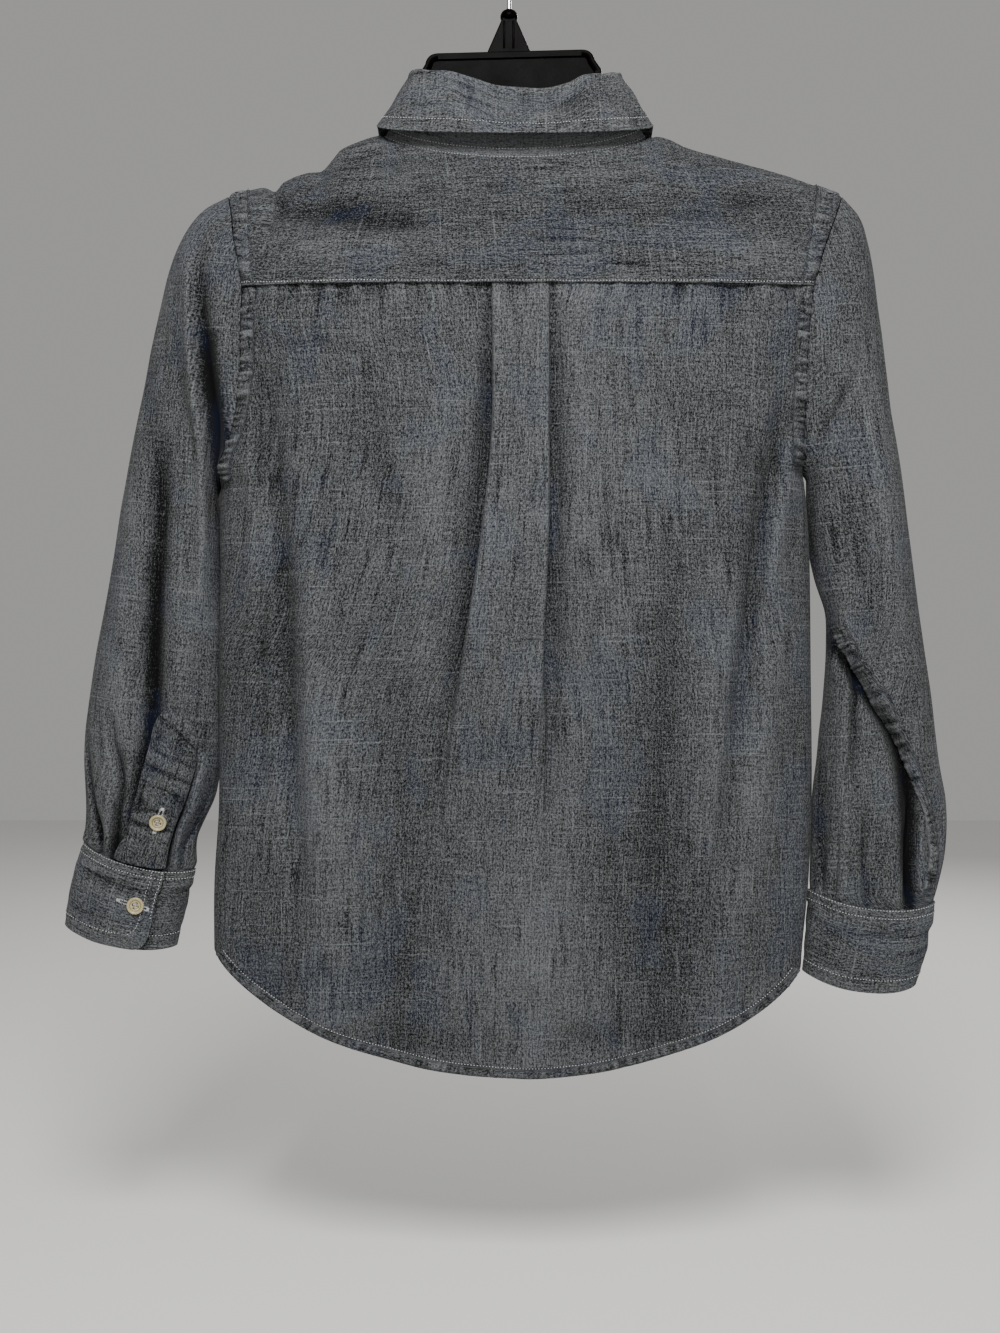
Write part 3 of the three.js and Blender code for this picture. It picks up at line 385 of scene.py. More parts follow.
bodyTwill = clothLook("chambrayBody")
yokeTwill = clothLook("chambrayYoke", turn=pi / 2)
sleeveTwill = clothLook("chambraySleeve", streaks=0.8)
paleThread = hardLook("paleThread", (0.5, 0.5, 0.49, 1), (0.37, 0.38, 0.38, 1), 0.8, 4000, 0.2,
                      gloss=0.2)
darkThread = hardLook("darkThread", (0.018, 0.02, 0.024, 1), (0.035, 0.038, 0.044, 1), 0.8, 4000, 0.2)
ivory = hardLook("ivoryButton", (0.36, 0.31, 0.16, 1), (0.42, 0.37, 0.21, 1), 0.3, 1500, 0.05,
                 coat=0.2)
# painted shade: a dark brown for the button's groove and hole walls
ivoryGrooveShade = hardLook("ivoryGrooveShade", (0.09, 0.055, 0.022, 1), (0.13, 0.085, 0.04, 1), 0.5, 1500, 0.05)
blackPlastic = hardLook("blackPlastic", (0.0007, 0.0004, 0.0003, 1), (0.0012, 0.0008, 0.0006, 1),
                        0.36, 1800, 0.06, gloss=0.015)
brightWire = hardLook("brightWire", (0.62, 0.62, 0.62, 1), (0.5, 0.5, 0.51, 1), 0.22, 700, 0.05,
                      metal=1.0)
print("materials ready")


# making pieces

def finish(name, bm, look, nodes=(), wall=0.0):
    piece = addObject(name, toMesh(name, bm))
    piece.data.materials.append(look)
    if wall:
        shell = piece.modifiers.new("cloth", "SOLIDIFY")
        shell.thickness = wall * mm
        shell.offset = 0
    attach(piece, "root")
    if nodes:
        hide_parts(*nodes)
    return piece


cloth = {"wall": 0.9, "rim": 0.5, "seamWall": 0.4}


def evenSteps(count, size):  # even places from 0 to 1, with a narrow one at each end
    first = cloth["rim"] / size
    inner = [lerp(first, 1 - first, i / (count - 2)) for i in range(count - 1)]
    return [0.0] + inner + [1.0]


def flatPlaces(grid, columns, rows, level, axis, cap):  # places on the flat cloth, in metres
    flat = {}
    middle, reach = columns // 2, 9
    for j in range(rows + 1):
        run = [0.0]
        for i in range(1, columns + 1):
            step = grid[i, j].co - grid[i - 1, j].co
            if level is not None:
                step.z = 0
            if axis:
                step -= axis * step.dot(axis)
            run.append(run[-1] + step.length)
        for i in range(columns + 1):
            flat[i, j] = [run[i] - run[middle], 0.0]
    for i in range(columns + 1):
        run, start = 0.0, 0.0
        for j in range(1, rows + 1):
            low, high = grid[i, j - 1].co, grid[i, j].co
            run += (high - low).length
            flat[i, j][1] = run
            if level is not None and low.z < level * mm <= high.z:
                start = run - (high.z - level * mm)
        for j in range(rows + 1):
            flat[i, j][1] = grid[i, j].co.dot(axis) if axis else flat[i, j][1] - start
    for i in range(columns + 1 if cap else 0):  # a cap is laid on from the row below it
        along = grid[min(i + reach, columns), cap].co - grid[max(i - reach, 0), cap].co
        along = (along - axis * along.dot(axis)).normalized()
        for j in range(cap):
            gone = grid[i, j].co - grid[i, cap].co
            sideways = gone.dot(along)
            up = sqrt(max(gone.length_squared - sideways ** 2, 0))
            flat[i, j] = [flat[i, cap][0] + sideways, flat[i, cap][1] + up]
    return flat


def sewnGrid(name, us, vs, place, look, nodes=(), closed=False, wall=cloth["wall"],
             level=None, axis=None, cap=0):
    bm = bmesh.new()
    columns, rows = len(us) - 1, len(vs) - 1
    bmesh.ops.create_grid(bm, x_segments=columns, y_segments=rows, size=1)
    uvLayer = bm.loops.layers.uv.new("weave")
    # each vertex keeps a tone value: wear, with painted shade in hollows and painted light on swells
    fadeLayer = bm.verts.layers.float.new("fade")
    grid, spots = {}, {}
    for vert in bm.verts:
        i = round((vert.co.x + 1) / 2 * columns)
        j = round((vert.co.y + 1) / 2 * rows)
        point, fade = place(us[i], vs[j])
        vert.co = point * mm
        vert[fadeLayer] = fade
        grid[i, j] = vert
        spots[vert] = (i, j)
    flat = flatPlaces(grid, columns, rows, level, axis, round(cap * rows))
    for face in bm.faces:
        face.smooth = True
        for loop in face.loops:
            loop[uvLayer].uv = flat[spots[loop.vert]]
    if closed:
        bmesh.ops.remove_doubles(bm, verts=bm.verts, dist=1e-6)
    bmesh.ops.recalc_face_normals(bm, faces=bm.faces)
    return finish(name, bm, look, nodes, wall=wall)


# the body's shape

body = {
    "yokeSeam": -259,
    "sideFlatness": 3,
    "seamGap": 0.8,
    "armholeGap": 0.7,
    "layer": 1.7,
    "centre": 4,
    "placketWidth": 30,
    "level": -450,
}
backHem = {"left": -681, "right": -692, "drop": 73}
frontHem = {"left": -681, "right": -692, "drop": 66}
underarm = {"left": -383, "right": -374}
shoulder = {"left": -195, "right": -195}
armholeDepth = {"back": 24, "front": 20}
outline = table(
    "z left right",
    (-780, -190, 186), (-690, -191, 189.5), (-640, -191, 194), (-588, -188, 196.2),
    (-490, -188, 195.5), (-440, -187, 195), (-411, -187.5, 194), (-383, -186.5, 191.5),
    (-368, -185, 189), (-355, -179, 188.5), (-336, -174, 188.6), (-315, -171, 188.8),
    (-283, -170.3, 190.5), (-258, -170, 193.5), (-242, -172.5, 198), (-226, -176, 203.5),
    (-208, -178.5, 210.5), (-194, -182, 216))
depths = table("z back front", (-780, 27, 20), (-690, 31, 23), (-560, 34, 25), (-400, 37, 27),
               (-259, 36, 27))
ridge = table(
    "x z",
    (-190, -195), (-182, -195), (-168, -191.5), (-156, -188.5), (-150, -191.5), (-145, -185.5),
    (-132, -180.5), (-121, -179), (-114, -171.5), (-109, -165.5), (-97, -159.5), (-82, -155.5),
    (-50, -161), (4, -168), (58, -161), (90, -155.5), (104, -159.5), (115, -164.5), (142, -172),
    (163, -177), (192, -185), (216, -195))
edgeX = {side: through(outline, "z", side) for side in sides}
depthAt = {face: through(depths, "z", face) for face in ("back", "front")}
ridgeZ = through(ridge, "x", "z")


def foldTable(*rows):  # height, half width and then the x and z of places down the fold
    made = []
    for height, width, *places in rows:
        xs, zs = places[::2], places[1::2]
        along = [(z - zs[0]) / (zs[-1] - zs[0]) for z in zs]
        made.append((zs[0], zs[-1], through({"k": along, "x": xs}, "k", "x"), height, width))
    return made


def relief(folds, x, z):  # how far the folds lift the cloth at a place
    lift = 0
    for z1, z3, line, height, width in folds:
        along = (z - z1) / (z3 - z1)
        if -0.15 < along < 1.15:
            across = (x - line(along)) / width
            if abs(across) < 3.2:
                fadeOut = sin(pi * clamp((along + 0.15) / 1.3)) ** 0.6
                lift += height * fadeOut * exp(-across * across)
    return lift


def dented(dents, x, z):  # soft hollows and swellings: place, half sizes, height
    lift = 0
    for placeX, placeZ, wide, high, height in dents:
        away = ((x - placeX) / wide) ** 2 + ((z - placeZ) / high) ** 2
        if away < 7:
            lift += height * exp(-away)
    return lift


backFolds = foldTable(
    (4, 6, -163, -376, -158, -405, -161, -470),
    (-7, 6.5, -150, -345, -143, -440, -138, -540, -132, -640),
    (-3.5, 4, -158, -300, -158, -420, -156, -560),
    (3.5, 8, -128, -400, -124, -500, -118, -610),
    (-7.5, 7, 173, -335, 158, -420, 148, -500, 141, -560, 131, -640),
    (4, 6, 181, -362, 173, -405, 160, -470),
    (3.5, 9, 172, -450, 164, -540, 156, -640),
    (2.5, 9, -42, -330, -52, -430, -60, -540),
    (2, 7, 46, -300, 50, -400, 46, -520),
    (-1.6, 2.4, 53, -470, 53.5, -495, 53, -520),
    (-3, 6, 101, -420, 99, -520, 92, -610),
    (-2.4, 7, -84, -340, -78, -380, -66, -430),
    (4, 24, -118, -470, -122, -590, -112, -738),
    (-4, 18, -66, -540, -64, -650, -72, -748),
    (-4.5, 20, 88, -500, 96, -620, 92, -750),
    (4, 18, 132, -470, 138, -600, 130, -735),
    (3.5, 20, 20, -600, 24, -680, 18, -762),
    (-2.6, 5, 62, -590, 66, -660, 72, -740),
    (-2.2, 4, -20, -600, -26, -660, -30, -720))
pleatValleys = foldTable(  # beside the pleat, and not on it
    (-4, 6, -13, -268, -12, -320, -14, -370),
    (-9, 9, -12, -330, -20, -430, -28, -492, -38, -585),
    (-8, 6.5, 26, -268, 27.5, -333, 28, -454, 23, -570))
backDents = (
    (-128, -297, 30, 3.2, -2), (-100, -302, 15, 3, -1.6), (104, -267, 28, 4, -2.4),
    (-136, -268, 26, 4, -1.6), (2, -552, 26, 18, -3), (-78, -380, 16, 24, -1.6),
    (-122, -700, 36, 12, -3.5), (-62, -738, 46, 10, -3), (62, -736, 50, 9, -2.6),
    (96, -650, 60, 44, -2.4), (-66, -618, 48, 42, 2.6), (-164, -684, 9, 7, -2.5),
    (-104, -716, 14, 3.5, -2))
frontFolds = foldTable(
    (-5.5, 8, -150, -380, -146, -480, -152, -620),
    (3, 9, -128, -360, -122, -470, -126, -600),
    (3.5, 20, -95, -330, -88, -500, -92, -720),
    (-3, 7, -58, -420, -62, -520, -60, -690),
    (-4, 16, 80, -350, 92, -520, 86, -730),
    (-5, 7, 158, -350, 146, -450, 138, -580),
    (4, 12, 166, -420, 158, -520, 156, -680),
    (-2.5, 5, 44, -480, 48, -600, 44, -720))
frontDents = (
    (-120, -255, 26, 12, -2.4), (124, -250, 24, 12, -2.2), (-60, -300, 22, 30, 1.8),
    (70, -310, 24, 34, 1.6), (-100, -690, 50, 22, -2.4), (110, -700, 46, 20, -2.2))


def bodyEdge(side, face, z):  # the side fold, or the armhole above it
    if z <= underarm[side]:
        return edgeX[side](z), face * body["seamGap"] / 2
    middle = (shoulder[side] + underarm[side]) / 2
    turn = acos(clamp((z - middle) / (shoulder[side] - middle), -1, 1))
    depth = armholeDepth["back" if face < 0 else "front"]
    y = face * max(depth * sin(turn), body["seamGap"] / 2)
    return edgeX[side](z) - signOf[side] * body["armholeGap"] / 2, y


def bodyDepth(face, x, z):
    leftX, leftY = bodyEdge("left", face, z)
    rightX, rightY = bodyEdge("right", face, z)
    c = clamp((x - (leftX + rightX) / 2) / ((rightX - leftX) / 2), -1, 1)
    depth = face * depthAt["back" if face < 0 else "front"](z)
    edge = lerp(leftY, rightY, (c + 1) / 2)
    return edge + (depth - edge) * sqrt(1 - abs(c) ** body["sideFlatness"])


def hemHeight(hem, x):
    left, right = outline["left"][1], outline["right"][1]
    c = clamp((x - (left + right) / 2) / ((right - left) / 2), -1, 1)
    return lerp(hem["left"], hem["right"], (c + 1) / 2) - hem["drop"] * (1 - c * c) ** 0.75


def armhole(side, turn, outwards):
    top = shoulder[side]
    middle = (top + underarm[side]) / 2
    z = middle + (top - middle) * cos(turn)
    depth = armholeDepth["back" if sin(turn) > 0 else "front"]
    return Vector((edgeX[side](z) + signOf[side] * outwards, -depth * sin(turn), z))


# the back panel, folded under itself on both sides of the pleat

backPanel = {
    "sideColumns": 62,
    "pleatSpans": 17,
    "pleatSteps": 2,
    "rows": 215,
    "underlap": 9,
    "tuck": 6,
    "edgeColumn": 0.35,
    "flat": (0.43, 0.515),
    "area": 0.205,
}
pleat = table(
    "z left right rise",
    (-780, -47, 14, 0.1), (-640, -44, 15, 0.3), (-560, -37, 17, 1), (-490, -27.5, 20, 2.4),
    (-410, -16, 24, 3), (-346, -10.2, 24.2, 3), (-250, -10.2, 24.2, 3))
pleatLeft = through(pleat, "z", "left")
pleatRight = through(pleat, "z", "right")
pleatRise = through(pleat, "z", "rise")
underTurn = through(table("z share", (-600, 1), (-540, 0.93), (-480, 0.5), (-400, 0.12),
                          (-330, 0), (-250, 0)), "z", "share")


def pleatStations(z):  # places across the pleat and how far each is lifted
    left, right, rise = pleatLeft(z), pleatRight(z), pleatRise(z)
    opened = underTurn(z)
    under = backPanel["underlap"] * (1 - opened)
    step = rise / 2
    shape = ((-9 - 14 * opened, 0), (-4 - 12 * opened, 0), (under - 9 * opened, -0.1 * step),
             (under + 0.8 - 7 * opened, step * 0.5), (under - 5 * opened, step),
             (0.4 - 3 * opened, step), (-0.5 - 1.2 * opened, step * 1.5), (0.5, rise),
             (4 + opened, rise))
    stations = [(left + x, lift) for x, lift in shape]
    stations += [(right - x, lift) for x, lift in reversed(shape)]
    return stations


def seamPucker(x, down):  # small gathers that hang from the yoke seam
    if down > 40:
        return 0
    near = exp(-((down - 5) / 7) ** 2) + 0.5 * exp(-down / 16)
    return 1.5 * near * (noiseAt(x / 5.5, down / 26, 3.1)
                         + 0.8 * noiseAt(x / 13, down / 40, 8.4))


def clothDrift(x, z, seed):  # the uneven lie of washed cloth
    return (1.3 * soft(x, z * 0.6, seed, 62) + 0.75 * soft(x, z * 0.7, seed + 5, 21)
            + 0.3 * soft(x, z, seed + 9, 8))


def backSurface(x, z, lift=0.0):
    down = body["yokeSeam"] - z
    lift *= lerp(0.4, 1, ease((down + 2) / 14))
    tucked = 1.5 * ease((4 - down) / 4)
    drift = clothDrift(x, z, 1.7) * ease(down / 14) * ease((x - edgeX["left"](z)) / 18) \
        * ease((edgeX["right"](z) - x) / 18)
    creased = (relief(backFolds, x, z) + dented(backDents, x, z)) * ease((down + 2) / 12)
    underSeam = 1.2 * exp(-((down - 3.5) / 3.5) ** 2)
    rise = max(pleatRise(z), 0.1)
    beside = relief(pleatValleys, x, z) * (1 - clamp(lift / rise)) * ease((down + 2) / 16)
    raised = lift + beside + creased + seamPucker(x, down) + drift - tucked - underSeam
    return Vector((x, bodyDepth(-1, x, z) - raised, z))


def backCloth(u, v):
    count = backPanel["sideColumns"]
    steps = backPanel["pleatSteps"]
    spans = backPanel["pleatSpans"] * steps
    index = u * (2 * count + spans)
    x = lerp(outline["left"][1], outline["right"][1], u)
    for _ in range(2):
        z = lerp(hemHeight(backHem, x), body["yokeSeam"] + backPanel["tuck"], v)
        zz = min(z, body["yokeSeam"])
        stations = pleatStations(zz)
        lift = 0
        if index < count:
            x = lerp(bodyEdge("left", -1, zz)[0], stations[0][0], index / count)
        elif index > count + spans:
            share = (2 * count + spans - index) / count
            x = lerp(bodyEdge("right", -1, zz)[0], stations[-1][0], share)
        else:
            at = (index - count) / steps
            i = min(int(at), backPanel["pleatSpans"] - 1)
            x = lerp(stations[i][0], stations[i + 1][0], at - i)
            lift = lerp(stations[i][1], stations[i + 1][1], at - i)
    point = backSurface(x, zz, lift)
    # the folds, dents, drift and pleat valleys go into the tone too: painted shade in hollows, painted
    # light on swells
    raised = relief(backFolds, x, zz) + dented(backDents, x, zz) + clothDrift(x, zz, 1.7)
    if lift < 0.5 * pleatRise(zz):
        raised += relief(pleatValleys, x, zz)
    folded = 1 - underTurn(zz)
    left, right = stations[8][0] - x, x - stations[9][0]
    worn = 0.14 * exp(-min(abs(left - 4), abs(right - 4)) / 1.2) if lift > 2 else 0
    # painted shade in the deep valleys beside the pleat's strip
    pleatValleyShade = 0.16 * exp(-((max(left, right) - 5) / 4) ** 2) if lift < 0.5 else 0
    # painted shade just under the yoke seam
    underSeam = 0.1 * exp(-((body["yokeSeam"] - zz) / 6) ** 2)
    point.z = z
    # the gathers under the yoke get painted shade in their troughs and painted light on their crests
    fade = 0.48 + 0.024 * raised + 0.1 * seamPucker(x, body["yokeSeam"] - zz)
    # painted light and shade: paler round the middle of the back, darker towards the left
    fade += 0.06 * exp(-((x - 20) / 70) ** 2) - 0.02 * ease((-x - 40) / 60)
    return point, fade + folded * (worn - pleatValleyShade) - underSeam


backColumns = 2 * backPanel["sideColumns"] + backPanel["pleatSpans"] * backPanel["pleatSteps"]
backCount = [i / backColumns for i in range(backColumns + 1)]
backCount[1] = backPanel["edgeColumn"] / backColumns
backCount[-2] = 1 - backPanel["edgeColumn"] / backColumns
sewnGrid("backCloth", backCount, evenSteps(backPanel["rows"], 510), backCloth, bodyTwill,
         ["back_panel"], level=body["level"])
print("back panel ready")


# the yoke

neck = {"centre": 4, "halfWidth": 87, "backDepth": 22, "frontDepth": 26, "side": -156,
        "backDrop": 20, "frontDrop": 42}
yoke = {
    "columns": 174,
    "rows": 84,
    "power": 1.6,
    "armholeTurn": -0.62,
    "neckTurn": 0.42,
    "neckShare": 0.2,
    "reach": 0.1,
    "flat": (0.41, 0.165),
    "area": 0.042,
}
yokeSpread = through(table("u share", (0, 0), (0.3, 0.2), (0.5, 0.5), (0.7, 0.8), (1, 1)),
                     "u", "share")


def neckPoint(turn):
    depth, drop = (neck["backDepth"], neck["backDrop"]) if sin(turn) > 0 else \
        (neck["frontDepth"], neck["frontDrop"])
    return Vector((neck["centre"] + neck["halfWidth"] * cos(turn), -depth * sin(turn),
                   neck["side"] - drop * abs(sin(turn)) ** 1.3))


def shoulderFace(x, turn):  # over the shoulder: turn 0 at the back seam, pi at the front
    top = ridgeZ(x)
    reach = bodyDepth(-1 if turn < pi / 2 else 1, x, body["yokeSeam"])
    y = reach * abs(cos(turn)) ** (2 / yoke["power"])
    rise = (top - body["yokeSeam"]) * max(sin(turn), 0) ** (2 / yoke["power"])
    return Vector((x, y, body["yokeSeam"] + rise))


def bodyFace(face, x, z):
    if z <= body["yokeSeam"]:
        return bodyDepth(face, x, z)
    share = clamp((z - body["yokeSeam"]) / (ridgeZ(x) - body["yokeSeam"]))
    return bodyDepth(face, x, body["yokeSeam"]) * (1 - share ** yoke["power"]) ** (1 / yoke["power"])


def turnAtDepth(x, y):
    reach = abs(bodyDepth(-1 if y < 0 else 1, x, body["yokeSeam"]))
    turn = acos(clamp(abs(y) / reach) ** (yoke["power"] / 2))
    return turn if y < 0 else pi - turn


def neckTurnOf(side):
    return pi + yoke["neckTurn"] if side == "left" else -yoke["neckTurn"]


def forwardSeam(side, share):
    start = armhole(side, yoke["armholeTurn"], -body["armholeGap"] / 2)
    end = neckPoint(neckTurnOf(side))
    seam = start.lerp(end, share)
    startMiss = start.y - bodyFace(1, start.x, start.z)
    endMiss = end.y - bodyFace(1, end.x, end.z)
    seam.y = bodyFace(1, seam.x, seam.z) + lerp(startMiss, endMiss, share)
    return seam


def yokeTop(share):
    near = yoke["neckShare"]
    if share < near:
        return forwardSeam("left", share / near)
    if share > 1 - near:
        return forwardSeam("right", (1 - share) / near)
    around = (share - near) / (1 - 2 * near)
    return neckPoint(lerp(pi + yoke["neckTurn"], -yoke["neckTurn"], around))


def yokeEdge(side, v):
    middle = (shoulder[side] + underarm[side]) / 2
    start = acos((body["yokeSeam"] + 0.4 - middle) / (shoulder[side] - middle))
    return armhole(side, lerp(start, yoke["armholeTurn"], v), -body["armholeGap"] / 2)


yokeEnds = {side: yokeEdge(side, 0).x for side in sides}


def yokeBase(share, v):
    end = yokeTop(share)
    endTurn = turnAtDepth(end.x, end.y)
    miss = end - shoulderFace(end.x, endTurn)
    x = lerp(lerp(yokeEnds["left"], yokeEnds["right"], share), end.x, v * v)
    point = shoulderFace(x, endTurn * v)
    point.z += 0.4 * (1 - v)
    return point + miss * v ** 3


def yokeShape(share, v):
    point = yokeBase(share, v)
    leftPull = max(0, 1 - share / yoke["reach"]) ** 2
    rightPull = max(0, 1 - (1 - share) / yoke["reach"]) ** 2
    if leftPull:
        point += (yokeEdge("left", v) - yokeBase(0, v)) * leftPull
    if rightPull:
        point += (yokeEdge("right", v) - yokeBase(1, v)) * rightPull
    return point


yokeDents = (  # in x and z on the back face
    (-104, -210, 27, 8, -6.5), (-72, -219, 24, 7, -4.5), (-84, -178, 20, 5, -2.4),
    (-145, -204, 3.5, 9, -3.6), (-156, -200, 5, 8, 2), (152, -203, 24, 4.5, -3),
    (108, -214, 34, 4, -2.2), (70, -206, 34, 4, -1.6), (-112, -238, 46, 11, 2.4),
    (150, -241, 28, 11, 2.2), (30, -216, 40, 10, -1.4), (80, -236, 30, 5, -1.5),
    (-20, -240, 24, 7, 1.4), (-40, -190, 26, 6, 1.6), (40, -188, 34, 5, 1.5))


def yokeDrift(share, v):
    x, z = share * 380, v * 150
    inside = ease(share / 0.05) * ease((1 - share) / 0.05) * ease(v / 0.06) * ease((1 - v) / 0.1)
    waves = 1.5 * soft(x * 0.45, z, 14.2, 30) + 0.8 * soft(x * 0.6, z, 17.7, 13)
    spread = soft(x * 0.8, z * 0.25, 23.5, 7) * ease(1 - v / 0.16)
    return inside * waves + 0.28 * soft(x, z, 21, 6) + 0.5 * spread


def yokeOn(share, v):
    point = yokeShape(share, v)
    outwards = Vector((0, point.y, (point.z - body["yokeSeam"]) * 0.5)).normalized()
    overPleat = ease((point.x + 26) / 16) * ease((40 - point.x) / 16)
    lip = 0.6 * ease(1 - v / 0.02) + 1.1 * overPleat * ease(1 - v / 0.14)
    hollow = dented(yokeDents, point.x, point.z) * ease(-point.y / 12)
    return point + outwards * (yokeDrift(share, v) + hollow + lip)


def yokeCloth(u, v):
    share = yokeSpread(u)
    base = yokeShape(share, v)
    hollow = dented(yokeDents, base.x, base.z) * ease(-base.y / 12)
    # painted shade in the yoke's dents and painted light on its swells; paler along the lower edge
    fade = 0.43 + 0.045 * (yokeDrift(share, v) + hollow) + 0.1 * clamp(1 - v / 0.03)
    return yokeOn(share, v), fade


sewnGrid("yokeCloth", evenSteps(yoke["columns"], 400), evenSteps(yoke["rows"], 150), yokeCloth,
         yokeTwill, ["yoke"])
print("yoke ready")


# the fronts and the button placket, on the side away from the yoke's pleat

fronts = {
    "columns": 82,
    "rows": 170,
    "placketColumns": 18,
    "placketRows": 240,
    "reach": 24,
    "lapStart": 32,
    "lapLength": 18,
    "lapGap": 0.3,
    "flat": (0.215, 0.59),
    "area": 0.112,
    "placketFlat": (0.032, 0.56),
}


def frontTop(side, x):
    start = armhole(side, yoke["armholeTurn"], -body["armholeGap"] / 2)
    end = neckPoint(neckTurnOf(side))
    share = (x - start.x) / (end.x - start.x)
    if share < 1:
        point = forwardSeam(side, max(share, 0))
    else:
        point = neckPoint(-acos(clamp((x - neck["centre"]) / neck["halfWidth"], -1, 1)))
    point.z -= body["seamGap"] * 0.4
    return point


def frontDrift(x, z):
    return clothDrift(x, z, 33.3)


def frontPoint(x, z, top):
    # this value paints nothing: it is how far the seam at the top takes over from the creases and
    # drift
    fade = clamp(1 - (top.z - z) / 70) ** 2
    drift = frontDrift(x, z) * ease((x - edgeX["left"](z)) / 18) * ease((edgeX["right"](z) - x) / 18)
    creased = relief(frontFolds, x, z) + dented(frontDents, x, z)
    y = bodyFace(1, x, z) + (creased + drift) * (1 - fade)
    return Vector((x, y + (top.y - bodyFace(1, top.x, top.z)) * fade, z))


def lapStep(x):
    start = body["centre"] - body["placketWidth"] / 2 - fronts["lapStart"]
    return body["layer"] * ease((x - start) / fronts["lapLength"])


def frontOn(side, x, z, top):
    point = frontPoint(x, z, top)
    if z > underarm[side]:
        edge = bodyEdge(side, 1, z)
        pull = max(0, 1 - abs(x - edge[0]) / fronts["reach"]) ** 2
        point.y += (edge[1] - bodyFace(1, edge[0], z)) * pull
    if side == "left":
        point.y += lapStep(x)
    return point


def frontCloth(side):
    centreEdge = body["centre"] - signOf[side] * body["placketWidth"] / 2

    def place(u, v):
        x = lerp(outline[side][1], centreEdge, u)
        for _ in range(3):
            top = frontTop(side, x)
            z = lerp(hemHeight(frontHem, x), top.z, v)
            x = lerp(bodyEdge(side, 1, z)[0], centreEdge, u ** 1.3)
        # the creases go into the tone: painted shade in hollows, painted light on swells
        raised = relief(frontFolds, x, z) + dented(frontDents, x, z) + frontDrift(x, z)
        return frontOn(side, x, z, top), 0.5 + 0.024 * raised
    return place


def onPlacket(x, z, lift=0.0):
    point = frontPoint(x, z, frontTop("left", x))
    point.y += lapStep(x) + body["layer"] + fronts["lapGap"] + lift
    return point


def placketOn(x, v):
    return onPlacket(x, lerp(hemHeight(frontHem, x), frontTop("left", x).z, v))


def placketCloth(u, v):
    x = body["centre"] + (0.5 - u) * (body["placketWidth"] - 1)
    return placketOn(x, v), 0.52 + 0.06 * clamp(1 - min(u, 1 - u) / 0.12)


for side in sides:
    sewnGrid(side + "FrontCloth", evenSteps(fronts["columns"], 200), evenSteps(fronts["rows"], 560),
             frontCloth(side), bodyTwill, [side + "_front"], level=body["level"])
sewnGrid("frontPlacketCloth", evenSteps(fronts["placketColumns"], 29),
         evenSteps(fronts["placketRows"], 560), placketCloth, bodyTwill, ["front_placket"],
         level=body["level"])
print("fronts ready")


# the collar: a stand round the neck and the leaf that falls over it

collar = {
    "standColumns": 230,
    "standRows": 22,
    "leafColumns": 270,
    "leafRows": 54,
    "inset": 2.1,
    "backHeight": 41,
    "sideHeight": 37.5,
    "frontHeight": 30,
    "topHalfWidth": 64.5,
    "squareness": 0.8,
    "topBackDepth": 15,
    "topFrontDepth": 19,
    "overlap": 13,
    "roll": 4,
    "rollShare": 0.16,
    "foldGap": 0.12,
    "pointGap": 0.55,
    "fallHalfWidth": 89.5,
    "fallDepth": 33,
    "edgeHeight": -148,
    "fallBack": 16,
    "fallFront": 84,
    "standFlat": (0.40, 0.04),
    "leafFlat": (0.41, 0.055),
    "leafArea": 0.019,
}
standLap = asin(collar["overlap"] / neck["halfWidth"])
standStart, standEnd = -pi / 2 - standLap, 1.5 * pi + standLap


def standPoint(turn, v):
    inset = Vector((-cos(turn), sin(turn), 0)) * collar["inset"]
    foot = neckPoint(turn) + inset
    behind = sin(turn) > 0
    depth = collar["topBackDepth"] if behind else collar["topFrontDepth"]
    other = collar["backHeight"] if behind else collar["frontHeight"]
    height = lerp(collar["sideHeight"], other, abs(sin(turn)))
    topX = neck["centre"] + collar["topHalfWidth"] * bend(cos(turn), collar["squareness"])
    topY = -depth * bend(sin(turn), collar["squareness"])
    return Vector((lerp(foot.x, topX, v), lerp(foot.y, topY, v), foot.z - 1.2 + (height + 2) * v))


def standOn(turn, v):
    point = standPoint(turn, v)
    point.y += body["layer"] * clamp((turn - standEnd + 3 * standLap) / standLap)
    outwards = Vector((cos(turn), -sin(turn), 0))
    return point + outwards * 0.5 * soft(turn * 70, v * 40, 41, 14)


def standCloth(u, v):
    # the stand's tone is raised as painted light against the leaf's shadow, a little less at its foot
    return standOn(lerp(standStart, standEnd, u), v), 0.76 - 0.04 * clamp(1 - v / 0.2)


leafRise = through(table("x rise", (-76, 0), (-52, 6), (-38, 9.5), (-22, 6.5), (-5, 1.5), (22, 0),
                         (36, 2.5), (46, 6.5), (58, 4.5), (76, 0)), "x", "rise")
leafDents = (  # in x and in mm down from the fold
    (-26, 12, 3.5, 12, -2.4), (11, 10, 3, 10, -1.8), (38, 18, 12, 5, -1.6), (-46, 18, 9, 10, 1.2),
    (57, 14, 4, 12, -1.6), (-62, 24, 8, 5, -1.4), (24, 30, 16, 5, 1.2), (-8, 24, 10, 8, 1.3))


def leafFold(share):  # the fold wavers along the collar
    return 1.1 * noiseAt(share * 9, 0, 5.5) + 0.7 * noiseAt(share * 23, 0, 2)


def leafWave(share, v):  # soft waves and pulled places on the collar leaf
    return 0.7 * noiseAt(share * 14, v * 1.8, 51) \
        + 0.6 * noiseAt(share * 36, v * 3.4, 57)


